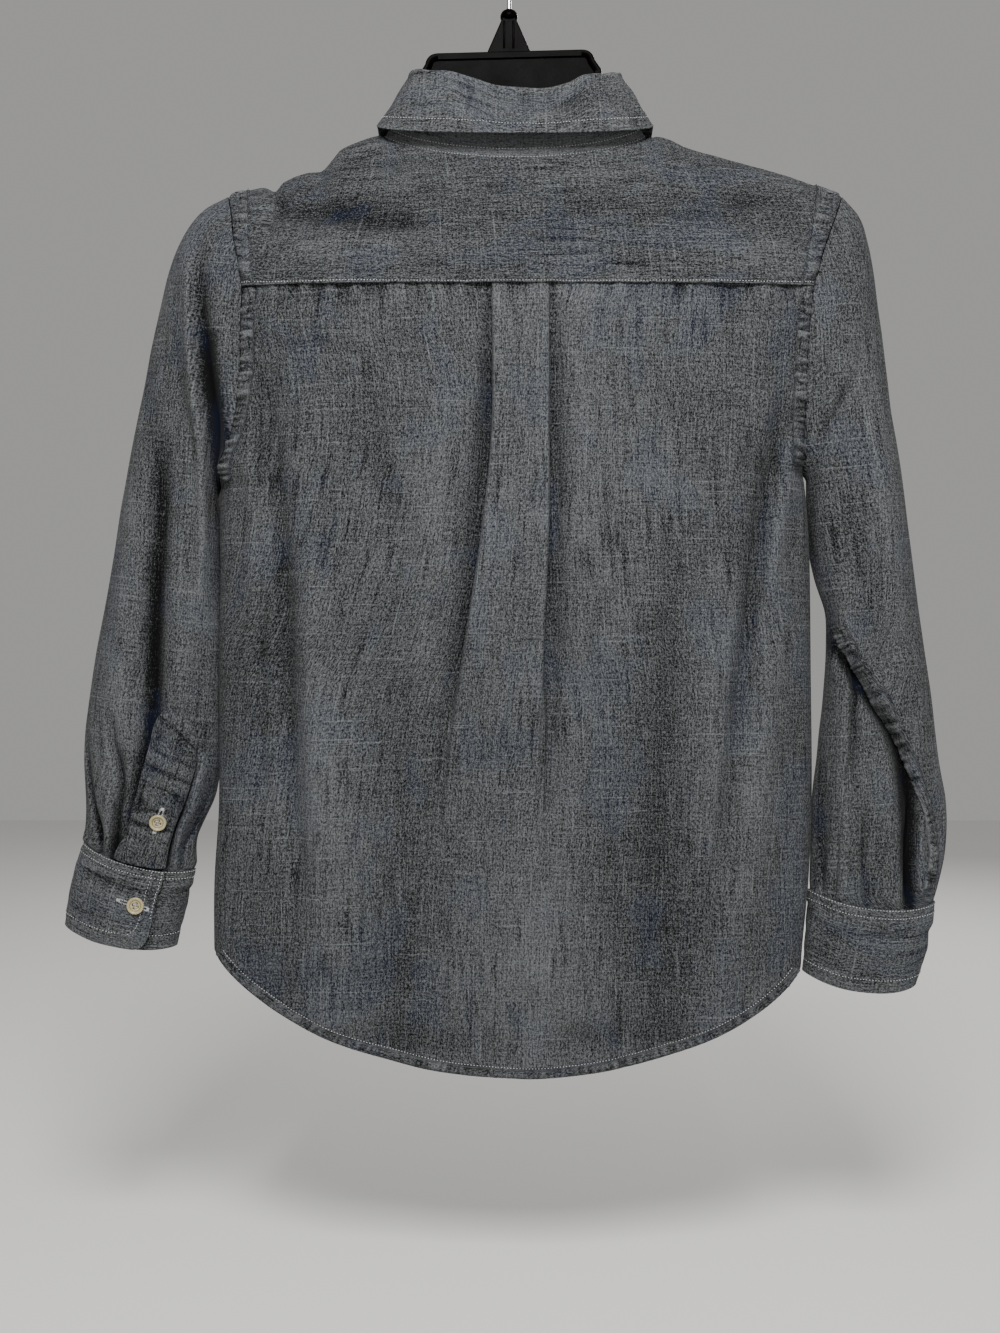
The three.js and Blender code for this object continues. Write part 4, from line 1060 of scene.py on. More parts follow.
def leafPoint(share, v):
    foldTurn = lerp(-pi / 2 + collar["foldGap"], 1.5 * pi - collar["foldGap"], share)
    edgeTurn = lerp(-pi / 2 + collar["pointGap"], 1.5 * pi - collar["pointGap"], share)
    top = standPoint(foldTurn, 0.96)
    outwards = Vector((cos(foldTurn), -sin(foldTurn), 0))
    angle = pi * min(v / collar["rollShare"], 1)
    point = top + outwards * (collar["roll"] * (1 - cos(angle)) / 2)
    point.z += 1.6 + (collar["roll"] * sin(angle)) * 0.8 + leafFold(share) * sin(angle)
    point.z += leafRise(top.x) * ease(sin(foldTurn) / 0.5) * ease(v / collar["rollShare"] * 2)
    if v > collar["rollShare"]:
        fall = (v - collar["rollShare"]) / (1 - collar["rollShare"])
        behind = sin(edgeTurn) > 0
        drop = collar["fallBack"] if behind else collar["fallFront"]
        edge = Vector((neck["centre"] + collar["fallHalfWidth"] * cos(edgeTurn),
                       -collar["fallDepth"] * bend(sin(edgeTurn), 0.8),
                       collar["edgeHeight"] - drop * abs(sin(edgeTurn)) ** (0.8 if behind else 1.2)))
        point = point.lerp(edge, fall)
        bulge = sin(pi * fall)
        ribs = noiseAt(share * 150, fall * 1.5, 61) * ease((fall - 0.72) / 0.1)
        dent = dented(leafDents, point.x, fall * 45) * clamp(sin(foldTurn) * 2)
        point += outwards * (bulge * (1.6 + 2.2 * leafWave(share, v)) + dent)
        point += outwards * (fall * 1.2 * leafWave(share, 0.9) + 0.5 * ribs * ease((1 - fall) / 0.06))
    return point


def leafCloth(u, v):
    fade = 0.5 + 0.1 * clamp(1 - abs(v - 0.1) / 0.08) + 0.09 * clamp(1 - (1 - v) / 0.08)
    point = leafPoint(u, v)
    dent = dented(leafDents, point.x, v * 54 - 9) * clamp(-point.y / 10)
    ribs = noiseAt(u * 150, v * 2, 61) * ease((v - 0.76) / 0.06)
    # painted light on the leaf's swells and ribs, painted shade in its hollows and dents
    return point, fade + 0.12 * leafWave(u, v) + 0.06 * dent + 0.16 * ribs


sewnGrid("collarStandCloth", evenSteps(collar["standColumns"], 420),
         evenSteps(collar["standRows"], 42), standCloth, yokeTwill, ["collar_stand"])
sewnGrid("collarLeafCloth", evenSteps(collar["leafColumns"], 430),
         evenSteps(collar["leafRows"], 75), leafCloth, yokeTwill, ["collar_leaf"])
print("collar ready")


# sleeves, with their cuffs and slit plackets

sleeves = {
    "left": {
        "rings": table(
            "outerX outerZ innerX innerZ back front y",
            (-182, -195, -186.5, -383, 24, 20, 0), (-197, -203, -189.5, -389, 25, 22, 2),
            (-211, -217.5, -189.5, -398, 26, 23, 6), (-221.5, -240, -188.5, -408, 27, 23, 10),
            (-228, -266, -187.2, -420, 27, 22, 13), (-235, -296, -186.3, -434, 27, 21, 14),
            (-241.5, -328, -186, -450, 27, 20, 14), (-248.5, -365, -186, -470, 27, 20, 14),
            (-255, -403, -186, -494, 27, 20, 14), (-262, -443, -186.5, -520, 27, 20, 14),
            (-269, -484, -187.5, -545, 26, 20, 13), (-275, -526, -190.5, -570, 25, 20, 12),
            (-277.5, -560, -195, -588, 24, 20, 11), (-276.5, -590, -202, -603, 22, 19, 10),
            (-276.5, -604, -205.5, -617, 20, 17, 9), (-278, -613, -205.5, -630, 18, 15, 8)),
        "cuff": table(
            "outerX outerZ innerX innerZ back front y",
            (-277, -614, -206, -632, 17, 14, 8), (-281, -625, -208, -642, 18, 15, 7),
            (-285.5, -645, -212, -658, 19, 16, 6), (-288.5, -666.5, -217.5, -681, 19, 16, 5)),
        "folds": foldTable(
            (-9, 5, -197, -255, -191, -321, -187, -357, -187, -440),
            (-9, 6, -192, -300, -186, -345, -182, -420),
            (6, 4, -207, -255, -202, -321, -197, -370, -197, -450),
            (-2.5, 6, -238, -300, -232, -350, -222, -400),
            (-10.5, 6.5, -223, -385, -228, -480, -230, -543, -236, -570, -244, -599, -253, -622),
            (4, 9, -207, -440, -209, -490, -211, -530),
            (3, 10, -250, -400, -252, -470, -254, -540),
            (-7.5, 2.6, -273, -552, -268, -590, -264, -607, -263, -630),
            (-7.5, 2.6, -254, -545, -248, -575, -252, -599, -257, -632),
            (3.5, 3, -261, -560, -258, -590, -260, -624),
            (3, 3, -243, -560, -247, -590, -250, -610),
            (-7, 2.6, -203, -562, -212, -592, -219, -612, -222, -640),
            (3.5, 2.4, -198, -566, -204, -590, -212, -608, -217, -638),
            (-6, 2.4, -194, -576, -205, -604, -212, -618, -213, -640)),
        "cuffSag": 5,
        "lean": 0.13,
        "face": 1,
        "seed": 71,
    },
    "right": {
        "rings": table(
            "outerX outerZ innerX innerZ back front y",
            (216, -195, 191.3, -374, 24, 20, 0), (227, -207.5, 194.5, -379, 25, 21, 1),
            (232.5, -223, 194.8, -386, 26, 22, 3), (237.5, -247, 195, -396, 26, 22, 5),
            (241, -273, 195.4, -408, 26, 22, 6), (244.5, -299, 196.6, -424, 26, 21, 6),
            (248, -330, 200.6, -442, 26, 20, 6), (253, -362, 206.8, -462, 25, 20, 6),
            (258, -397, 208, -481, 25, 20, 6), (263.5, -438, 207.5, -503, 25, 20, 6),
            (269.5, -482, 205.5, -526, 24, 20, 6), (275, -523, 203, -550, 24, 20, 6),
            (279, -560, 200.5, -577, 23, 20, 7), (284.5, -590, 199, -600, 22, 19, 7),
            (284.5, -618, 198, -622, 20, 17, 7), (277.5, -650, 197.5, -644, 18, 15, 7)),
        "cuff": table(
            "outerX outerZ innerX innerZ back front y",
            (277.5, -652.5, 196.5, -645, 17, 14, 7), (275.5, -665, 195.5, -657, 18, 15, 6),
            (271, -685, 194.2, -677, 19, 16, 5), (264.5, -705, 192.5, -698, 19, 16, 5)),
        "folds": foldTable(
            (-8, 5, 188, -366, 192, -400, 197, -440),
            (-3, 4, 220, -316, 208, -336, 198, -356),
            (3, 12, 236, -330, 240, -400, 250, -470),
            (-3, 8, 222, -380, 226, -430, 236, -490),
            (3, 5, 205, -448, 213, -470, 221, -492),
            (-12, 6, 206, -478, 228, -515, 249, -551, 256, -594, 259, -652),
            (-5, 3, 222, -496, 221, -530, 219, -568),
            (3.5, 6, 213, -530, 213, -590, 216, -645),
            (-7, 3, 259, -580, 256, -615, 259, -660),
            (3.5, 3, 266, -590, 264, -618, 266, -650),
            (-5, 2.8, 203, -560, 203, -605, 205, -660),
            (-5, 2.6, 228, -596, 228, -625, 232, -664)),
        "cuffSag": 7,
        "lean": -0.08,
        "face": -1,
        "seed": 87,
    },
}
sleeveCut = {
    "around": 164,
    "rows": 212,
    "cap": 0.29,
    "flat": (0.21, 0.44),
    "area": 0.084,
    "cuffColumns": 180,
    "cuffRows": 36,
    "cuffFlat": (0.2, 0.055),
    "cuffWall": 1.5,
    "cuffHeight": 54,
    "cuffRadius": 36,
    "tuck": 1,
    "lapRise": 2,
    "lapEnd": 2.09,
    "lap": 0.72,
}
for sleeve in sleeves.values():
    for part in ("rings", "cuff"):
        rows = sleeve[part]
        rows["k"] = list(range(len(rows["back"])))
        sleeve[part + "At"] = {key: through(rows, "k", key) for key in rows if key != "k"}


def ringPoint(at, k, turn, roundness):
    across = (1 - bend(cos(turn), 2 / roundness)) / 2
    depth = at["back"](k) if sin(turn) > 0 else at["front"](k)
    return Vector((lerp(at["outerX"](k), at["innerX"](k), across),
                   at["y"](k) - depth * bend(sin(turn), 2 / roundness),
                   lerp(at["outerZ"](k), at["innerZ"](k), across)))


def ringMiddle(at, k):
    return Vector(((at["outerX"](k) + at["innerX"](k)) / 2, at["y"](k),
                   (at["outerZ"](k) + at["innerZ"](k)) / 2))


def sleevePoint(side, k, turn):
    sleeve = sleeves[side]
    point = ringPoint(sleeve["ringsAt"], k, turn, lerp(2, 2.3, clamp(k / 4)))
    point.z -= sleeve["cuffSag"] * sin(turn) ** 2 * clamp((k - 11) / 4) ** 2
    if k < 3:
        start = ringPoint(sleeve["ringsAt"], 0, turn, 2).x
        bow = armhole(side, turn, body["armholeGap"] / 2).x - start
        point.x += bow * (1 - k / 3) ** 2
    if sin(turn) > 0:
        lift = relief(sleeve["folds"], point.x, point.z)
        point.y -= lift * sqrt(sin(turn)) * min(k, 1)
    return point


def sleeveDrift(side, k, turn):
    seed = sleeves[side]["seed"]
    x, z = 30 * cos(turn), 27 * k
    y = 30 * sin(turn)
    wide = noiseAt(x / 24, y / 24, z / 60 + seed)
    fine = noiseAt(x / 9, y / 9, z / 26 + seed * 2)
    gathers = noiseAt(x / 5, y / 5, seed) * exp(-((15 - k) / 2) ** 2)
    return (1.7 * wide + 0.8 * fine) * ease(k / 1.5) * ease((15.2 - k) / 2) + 2 * gathers


def sleeveOn(side, k, turn):
    ring = min(k, 15)
    point = sleevePoint(side, ring, turn)
    out = (point - ringMiddle(sleeves[side]["ringsAt"], ring)).normalized()
    point = point + out * sleeveDrift(side, k, turn)
    inside = ease((k - 14.8) / 0.2)
    if inside:
        goal = cuffPoint(side, max(k - 15, 0) * 0.25, turn)
        goal -= (goal - ringMiddle(sleeves[side]["cuffAt"], 0)).normalized() * sleeveCut["tuck"]
        point = point.lerp(goal, inside)
    return point


def sleeveCloth(side):
    def place(u, v):
        turn = -signOf[side] * tau * u
        k = lerp(0, 15.4, v)
        point = sleeveOn(side, k, turn)
        lift = relief(sleeves[side]["folds"], point.x, point.z) if sin(turn) > 0 else 0
        # painted shade deep in the folds; the folds and drift also give painted shade and light
        deepFoldShade = 0.045 * max(0, -lift - 2)
        return point, 0.49 + 0.024 * lift - deepFoldShade + 0.05 * sleeveDrift(side, k, turn)
    return place


def cuffPoint(side, v, turn):
    sleeve = sleeves[side]
    point = ringPoint(sleeve["cuffAt"], v * 3, turn, 2.4)
    point.z -= sleeve["cuffSag"] * sin(turn) ** 2
    return point


def cuffOn(side, v, turn):
    sleeve = sleeves[side]
    face = sleeve["face"]
    point = cuffPoint(side, v, turn * face)
    beyond = turn - (tau + sleeveCut["lapEnd"] - sleeveCut["lap"] - 0.4)
    point.y -= face * sleeveCut["lapRise"] * clamp(beyond / 0.35)
    out = (point - ringMiddle(sleeve["cuffAt"], v * 3)).normalized()
    rumple = 0.9 * noiseAt(turn * 1.6, v * 5, sleeve["seed"]) \
        + 0.45 * noiseAt(turn * 5, v * 9, sleeve["seed"] + 4)
    line = 0.42 + 0.06 * noiseAt(turn * 1.2, 0.3, sleeve["seed"] + 9)
    rumple -= 1.5 * exp(-((v - line) / 0.05) ** 2) * (0.6 + noiseAt(turn * 1.1, 7.7, sleeve["seed"]))
    rumple += 0.5 * noiseAt(turn * 16, v * 2, sleeve["seed"]) * ease((v - 0.84) / 0.06)
    return point + out * rumple * ease(v / 0.2) * ease((1 - v) / 0.12), rumple


def cuffCloth(side):
    def place(u, v):
        corner = 0.24 * (1 - sqrt(1 - clamp((v - 0.84) / 0.16) ** 2))
        end = tau + sleeveCut["lapEnd"] - corner
        turn = lerp(sleeveCut["lapEnd"] - sleeveCut["lap"] + corner, end, u)
        point, rumple = cuffOn(side, v, turn)
        fade = 0.5 + 0.08 * clamp(1 - (1 - v) / 0.1) + 0.06 * clamp(1 - v / 0.12)
        # painted shade on the end that lies under the lap
        under = 0.16 * exp(-max(turn - sleeveCut["lapEnd"], 0) / 0.06)
        # painted shade in the cuff's crease and hollows, painted light on its swells
        return point, fade + 0.1 * rumple - under + 0.14 * exp(-(end - turn) / 0.03)
    return place


for side in sides:
    around = sleeveCut["around"]
    sewnGrid(side + "SleeveCloth", [i / around for i in range(around + 1)],
             evenSteps(sleeveCut["rows"], 440), sleeveCloth(side), sleeveTwill, ["sleeve_" + side],
             closed=True, axis=Vector((sleeves[side]["lean"], 0, 1)).normalized(),
             cap=sleeveCut["cap"])
    sewnGrid(side + "CuffCloth", evenSteps(sleeveCut["cuffColumns"], 200),
             evenSteps(sleeveCut["cuffRows"], 55), cuffCloth(side), yokeTwill, ["cuff_" + side],
             wall=sleeveCut["cuffWall"])
print("sleeves and cuffs ready")


# the slit plackets near the cuffs

slit = {"columns": 22, "rows": 90, "firstRing": 10.1, "lastRing": 15.05, "raise": 3.2, "sink": 0.55,
        "flat": (0.028, 0.12)}
slitLow = through(table("v at", (0, 0.56), (1, 0.37)), "v", "at")
slitHigh = through(table("v at", (0, 0.84), (1, 0.72)), "v", "at")


def slitSpot(side, u, v):  # the ring and the turn of a place on the placket
    rounding = 1 - max(0, 1 - v * 8) ** 2
    low, high = slitLow(v), slitHigh(v)
    across = lerp((low + high) / 2, lerp(low, high, u), 0.3 + 0.7 * sqrt(rounding))
    turn = acos(clamp(1 - 2 * across, -1, 1))
    return lerp(slit["firstRing"], slit["lastRing"], v), sleeves[side]["face"] * turn


def outFrom(surface, a, b, hint):  # the direction away from a surface at a place
    step = 0.02
    out = (surface(a + step, b) - surface(a - step, b)).cross(
        surface(a, b + step) - surface(a, b - step)).normalized()
    return toward(hint, out)


def slitOn(side, u, v):
    hint = Vector((0, -sleeves[side]["face"], 0))

    def surface(k, turn):
        return sleevePoint(side, k, turn)

    k, turn = slitSpot(side, u, v)
    out = outFrom(surface, k, turn, hint)
    crease = noiseAt(u * 0.8, v * 11, sleeves[side]["seed"] + 2)
    rumple = 0.9 * crease - 1.7 * exp(-(crease / 0.07) ** 2) * ease((0.8 - v) / 0.1)
    edge = min(u, 1 - u, v * 4)
    lift = slit["raise"] + rumple * ease(edge / 0.2) - 0.6 * ease(1 - edge / 0.05)
    base = surface(k, turn)
    if side == "left":
        base.y += slit["sink"] * relief(sleeves[side]["folds"], base.x, base.z)
    return base + out * lift, rumple


def slitCloth(side):
    def place(u, v):
        point, rumple = slitOn(side, u, v)
        # painted shade in the placket's crease, painted light on its swells; paler edges
        return point, 0.45 + 0.16 * rumple + 0.12 * exp(-min(u, 1 - u) / 0.05)
    return place


for side in sides:
    sewnGrid(side + "SlitPlacket", evenSteps(slit["columns"], 21), evenSteps(slit["rows"], 95),
             slitCloth(side), bodyTwill, ["sleeve_placket_" + side])
print("slit plackets ready")


# the seams: each is a rail, a place t along it (0 to 1) and a distance d into the cloth

seams = {  # how far the cloth runs in millimetres, across a rail
    "yokeBack": 98,
    "yokeFront": 110,
    "yokeAcross": 372,
    "stand": 42,
    "leafDown": 46,
    "leafAcross": 430,
    "slitAcross": 21,
    "slitDown": 95,
    "hemEnd": -690,
    "hemInset": 2,
    "hemSlope": 1.6,
    "frontShare": 0.47,
    "frontTop": -209,
    "underarm": 3,
}


def yokeRail(t, d):  # above the yoke's lower edge
    return yokeOn(t, d / seams["yokeBack"])


def yokeArmholeRail(side):
    def rail(t, d):
        across = d / seams["yokeAcross"]
        return yokeOn(across if side == "left" else 1 - across, t)
    return rail


def yokeFrontRail(side):  # beside the forward shoulder seam, on the yoke
    def rail(t, d):
        share = lerp(0.01, 0.19, t) if side == "left" else lerp(0.99, 0.81, t)
        return yokeOn(share, 1 - d / seams["yokeFront"])
    return rail


def backArmholeRail(side):
    def rail(t, d):
        z = lerp(body["yokeSeam"] - 0.5, underarm[side] + seams["underarm"], t)
        return backSurface(bodyEdge(side, -1, z)[0] - signOf[side] * d, z)
    return rail


def frontArmholeRail(side):
    def rail(t, d):
        z = lerp(seams["frontTop"], underarm[side] + seams["underarm"], t)
        x = bodyEdge(side, 1, z)[0] - signOf[side] * d
        return frontOn(side, x, z, frontTop(side, x))
    return rail


def hemSpot(hem, t, d):  # a place near a curved hem, d in from its edge
    left, right = (edgeX[side](seams["hemEnd"]) - signOf[side] * seams["hemInset"] for side in sides)
    x = lerp(left, right, t)
    slope = (hemHeight(hem, x + 1) - hemHeight(hem, x - 1)) / 2
    slope = clamp(slope, -seams["hemSlope"], seams["hemSlope"])
    run = 1 / sqrt(1 + slope * slope)
    return x - slope * run * d, hemHeight(hem, x) + run * d


def backHemRail(t, d):
    x, z = hemSpot(backHem, t, d)
    return backSurface(x, z, hemPleatLift(x, z))


def hemPleatLift(x, z):
    rise = pleatRise(z)
    return rise * ease((x - pleatLeft(z) + 8) / 16) * ease((pleatRight(z) + 8 - x) / 16)


def frontHemRail(side):
    def rail(t, d):
        share = t * seams["frontShare"]
        x, z = hemSpot(frontHem, share if side == "left" else 1 - share, d)
        return frontOn(side, x, z, frontTop(side, x))
    return rail


def placketRail(sign):
    def rail(t, d):
        return placketOn(body["centre"] + sign * (body["placketWidth"] / 2 - 0.5 - d), t)
    return rail


def standLowRail(t, d):
    return standOn(lerp(standStart, standEnd, t), d / seams["stand"])


def leafEdgeRail(t, d):
    return leafPoint(t, 1 - d / seams["leafDown"])


def leafEndRail(end):
    def rail(t, d):
        share = d / seams["leafAcross"]
        return leafPoint(share if end < 0 else 1 - share, lerp(0.25, 1, t))
    return rail


def cuffRail(side):  # round the cuff, d down from its top
    def rail(t, d):
        turn = lerp(sleeveCut["lapEnd"] - sleeveCut["lap"], tau + sleeveCut["lapEnd"], t)
        return cuffOn(side, d / sleeveCut["cuffHeight"], turn)[0]
    return rail


def cuffEndRail(side):  # down the end that laps and round its corner
    def rail(t, d):
        down, past = min(t * 1.35, 1), clamp((t * 1.35 - 1) / 0.35)
        rounded = 0.2 * (1 - cos(past * pi / 2))
        v = lerp(0.02, 0.72, down) + 0.15 * sin(past * pi / 2)
        return cuffOn(side, v, tau + sleeveCut["lapEnd"] - d / sleeveCut["cuffRadius"] - rounded)[0]
    return rail


def roundCuff(side):  # away from the middle of the cuff
    middle = ringMiddle(sleeves[side]["cuffAt"], 1.5)

    def hint(point):
        return Vector((point.x - middle.x, 2 * (point.y - middle.y), 0))
    return hint


def slitCrossRail(side, v):
    def rail(t, d):
        return slitOn(side, lerp(0.1, 0.9, t), v + d / seams["slitDown"])[0]
    return rail


def slitSideRail(side, low):
    def rail(t, d):
        share = d / seams["slitAcross"]
        return slitOn(side, share if low else 1 - share, lerp(0.03, 1, t))[0]
    return rail


sleeveSeam = table("t x z", (0, 209.5, -474), (0.11, 215.5, -486.5), (0.28, 230, -512),
                   (0.42, 240, -535), (0.6, 256, -569), (0.74, 265, -600), (0.86, 268.5, -622),
                   (1, 266, -640))
seamX, seamZ = through(sleeveSeam, "t", "x"), through(sleeveSeam, "t", "z")


def sleeveSpot(side, x, z):  # the ring and the turn where the back face is at x and z
    at = sleeves[side]["ringsAt"]
    low, high = 0.0, 15.0
    for _ in range(22):
        k = (low + high) / 2
        across = (x - at["outerX"](k)) / (at["innerX"](k) - at["outerX"](k))
        height = lerp(at["outerZ"](k), at["innerZ"](k), clamp(across, 0, 1))
        if height > z:
            low = k
        else:
            high = k
    return k, 2 * acos(sqrt(clamp(1 - across, 0.002, 0.998)))


def rightSeamRail(t, d):
    slopeX, slopeZ = seamX(t + 0.01) - seamX(t - 0.01), seamZ(t + 0.01) - seamZ(t - 0.01)
    run = sqrt(slopeX ** 2 + slopeZ ** 2) or 1
    return sleeveOn("right", *sleeveSpot("right", seamX(t) - slopeZ / run * d,
                                         seamZ(t) + slopeX / run * d))


def leftSeamRail(t, d):  # the other sleeve's seam lies on its hidden face
    return sleeveOn("left", lerp(0.4, 14.7, t), -2.5 + d / 40)


toBack, toFront = Vector((0, -1, 0)), Vector((0, 1, 0))
overShoulder, overFront = Vector((0, -0.6, 0.8)), Vector((0, 0.6, 0.8))


def roundNeck(point):  # away from the middle of the neck
    return Vector((point.x - neck["centre"], 2 * point.y, 0))


band = {"along": 0.9, "across": 9, "rise": 1, "rib": 1.9}
bandProfile = through(table("a rise", (0, -0.5), (0.08, 0.6), (0.22, 1), (0.6, 1), (0.82, 0.85),
                            (0.93, 0.2), (1, -0.7)), "a", "rise")


def railLength(rail, d):
    points = [rail(i / 24, d) for i in range(25)]
    return sum((b - a).length for a, b in zip(points, points[1:]))


def foldedBand(name, rail, width, hint, seed, rib=1.0, look=None, surface=0.45, edge=0.0):
    length = railLength(rail, width / 2)
    rows = max(int(length / band["along"]), 8)
    columns = band["across"]
    points = [[rail(j / rows, width * i / columns) for i in range(columns + 1)]
              for j in range(rows + 1)]

    def place(u, v):
        i, j = round(u * columns), round(v * rows)
        up, down = points[min(j + 1, rows)][i], points[max(j - 1, 0)][i]
        right, left = points[j][min(i + 1, columns)], points[j][max(i - 1, 0)]
        out = toward(hint, (up - down).cross(right - left).normalized())
        along = v * length
        slant = along + 2.2 * (u - 0.5) * noiseAt(along / 30, seed, 0)
        ribs = noiseAt(slant / 2, u * 1.1, seed) \
            + 0.6 * noiseAt(slant / 4.6, u * 0.7, seed + 7)
        strength = 0.55 + 0.45 * noiseAt(along / 34, seed + 3, 0)
        inside = ease(u / 0.12) * ease((0.9 - u) / 0.2)
        ribs = clamp(ribs * 2 * rib * strength * inside, -0.8, 0.8)
        lift = surface + band["rise"] * bandProfile(u) + band["rib"] * ribs
        # rib crests paler and troughs darker, partly wear and partly painted shade and light; painted
        # shade where the far edge turns under
        fade = 0.48 + 0.34 * ribs - 0.2 * ease((u - 0.85) / 0.1)
        fade += edge * exp(-((u - 0.1) / 0.12) ** 2)
        return points[j][i] + out * (lift - cloth["seamWall"] / 2), fade

    us = [i / columns for i in range(columns + 1)]
    vs = [j / rows for j in range(rows + 1)]
    return sewnGrid(name, us, vs, place, look or bodyTwill, wall=cloth["seamWall"])


sewing = {"pitch": 1.95, "length": 1.1, "width": 0.6, "height": 0.45}


def addStitch(bm, place, turn, halves):
    shape = Matrix.Translation(place * mm) @ turn @ Matrix.Scale(mm, 4) @ Matrix.Diagonal((*halves, 1))
    bmesh.ops.create_icosphere(bm, subdivisions=1, radius=1, matrix=shape)


def sewRow(bm, rail, d, hint, start=0.0, end=1.0, above=0.55, size=1.0, seed=0):
    count = 60
    ts = [lerp(start, end, i / count) for i in range(count + 1)]
    points = [rail(t, d) for t in ts]
    run = [0.0]
    for a, b in zip(points, points[1:]):
        run.append(run[-1] + (b - a).length)
    at = through({"run": run, "t": ts}, "run", "t")
    number = max(int(run[-1] / sewing["pitch"]), 1)
    for n in range(number):
        t = at((n + 0.5) * sewing["pitch"])
        middle = rail(t, d)
        step = 0.6 / max(run[-1], 1)
        along = (rail(t + step, d) - rail(t - step, d)).normalized()
        across = rail(t, d + 0.5) - rail(t, d - 0.5)
        out = toward(hint(middle) if callable(hint) else hint, along.cross(across).normalized())
        wander = noiseAt(n * 0.73, seed, 0.5)
        side = out.cross(along).normalized()
        addStitch(bm, middle + out * above + side * 0.12 * wander,
                  axes(along + side * 0.12 * wander, side, out),
                  (sewing["length"] / 2 * (1 + 0.12 * wander), sewing["width"] / 2 * size,
                   sewing["height"] / 2 * size))


def sewn(name, look, rows):  # rows of rail, distance in, direction outwards and extra values
    bm = bmesh.new()
    for i, (rail, d, hint, extra) in enumerate(rows):
        sewRow(bm, rail, d, hint, seed=i * 3.7, **extra)
    for face in bm.faces:
        face.smooth = True
    return finish(name, bm, look)


foldedBand("backHemBand", backHemRail, 7.5, toBack, 5.1, rib=0.8)
for side in sides:
    foldedBand(side + "FrontHemBand", frontHemRail(side), 7.5, toFront, 9.4)
    foldedBand(side + "BackArmholeBand", backArmholeRail(side), 9.5, toBack, 13.3, rib=1.25)
    foldedBand(side + "YokeArmholeBand", yokeArmholeRail(side), 9.5, overShoulder, 17.9, rib=1.1,
               look=yokeTwill)
    foldedBand(side + "FrontArmholeBand", frontArmholeRail(side), 9.5, toFront, 21.2)
foldedBand("rightSleeveSeamBand", rightSeamRail, 8, toBack, 31.6, rib=0.9, look=sleeveTwill,
           surface=0.9, edge=0.34)
foldedBand("leftSleeveSeamBand", leftSeamRail, 8, toFront, 35.2, rib=0.7, look=sleeveTwill,
           surface=0.9, edge=0.2)
print("seam bands ready")

sewn("yokeStitches", paleThread, [(yokeRail, 1.6, toBack, {"above": 0.75})] + [
    (yokeFrontRail(side), 1.8, overFront, {"above": 0.7}) for side in sides])
sewn("hemStitches", paleThread, [(backHemRail, 6.9, toBack, {"above": 1.1})] + [
    (frontHemRail(side), 6.9, toFront, {"above": 1.1}) for side in sides])
sewn("collarStitches", paleThread, [
    (leafEdgeRail, 8, roundNeck, {"start": 0.02, "end": 0.98, "above": 0.9}),
    (leafEndRail(-1), 7, roundNeck, {"end": 0.84}), (leafEndRail(1), 7, roundNeck, {"end": 0.84}),
    (standLowRail, 2.2, roundNeck, {"start": 0.01, "end": 0.99, "above": 0.8}),
    (standLowRail, 7.5, roundNeck, {"start": 0.2, "end": 0.8, "above": 0.8})])
sewn("placketStitches", paleThread, [(placketRail(sign), 5, toFront, {"above": 0.7})
                                     for sign in (-1, 1)])
for side in sides:
    face = toBack if side == "left" else toFront
    outwards = roundCuff(side)
    sewn(side + "CuffStitches", paleThread, [
        (cuffRail(side), 1, outwards, {"above": 1}), (cuffRail(side), 9, outwards, {"above": 1}),
        (cuffRail(side), 47, outwards, {"above": 1, "end": 0.93}),
        (cuffEndRail(side), 8.5, face, {"above": 1}),
        (cuffEndRail(side), 1.6, face, {"above": 1, "end": 0.74})])
    sewn(side + "SlitStitches", darkThread, [
        (slitSideRail(side, True), 1.4, face, {"above": 0.6}),
        (slitSideRail(side, False), 1.4, face, {"above": 0.6}),
        (slitCrossRail(side, 0.31), 0, face, {"above": 0.6})])
    sewn(side + "ArmholeStitches", darkThread, [
        (rail, 8.2, hint, {"above": 1.75, "size": 1.3})
        for rail, hint in ((backArmholeRail(side), toBack), (yokeArmholeRail(side), overShoulder),
                           (frontArmholeRail(side), toFront))])
sewn("sleeveSeamStitches", darkThread, [
    (rightSeamRail, 6.6, toBack, {"above": 2.15, "size": 1.5}),
    (leftSeamRail, 6.6, toFront, {"above": 2.15, "size": 1.5})])
print("stitches ready")


# the buttons: turned discs with a rim, four holes and their thread

button = {"radius": 5.5, "thickness": 2.4, "hole": 0.85, "spacing": 1.5, "rim": 1.3, "dish": 1.1}
buttonhole = {"length": 14.5, "gap": 0.5, "stitch": 1.2, "pitch": 0.5, "bar": 2.9}


def spun(bm, profile, steps):  # a profile of x and z turned round the Z axis
    verts = [bm.verts.new((x, 0, z)) for x, z in profile]
    edges = [bm.edges.new(pair) for pair in zip(verts, verts[1:])]
    bmesh.ops.spin(bm, geom=verts + edges, cent=(0, 0, 0), axis=(0, 0, 1), dvec=(0, 0, 0),
                   angle=tau, steps=steps, use_merge=True, use_duplicate=False)
    bmesh.ops.remove_doubles(bm, verts=bm.verts, dist=1e-4)
    bmesh.ops.recalc_face_normals(bm, faces=bm.faces)


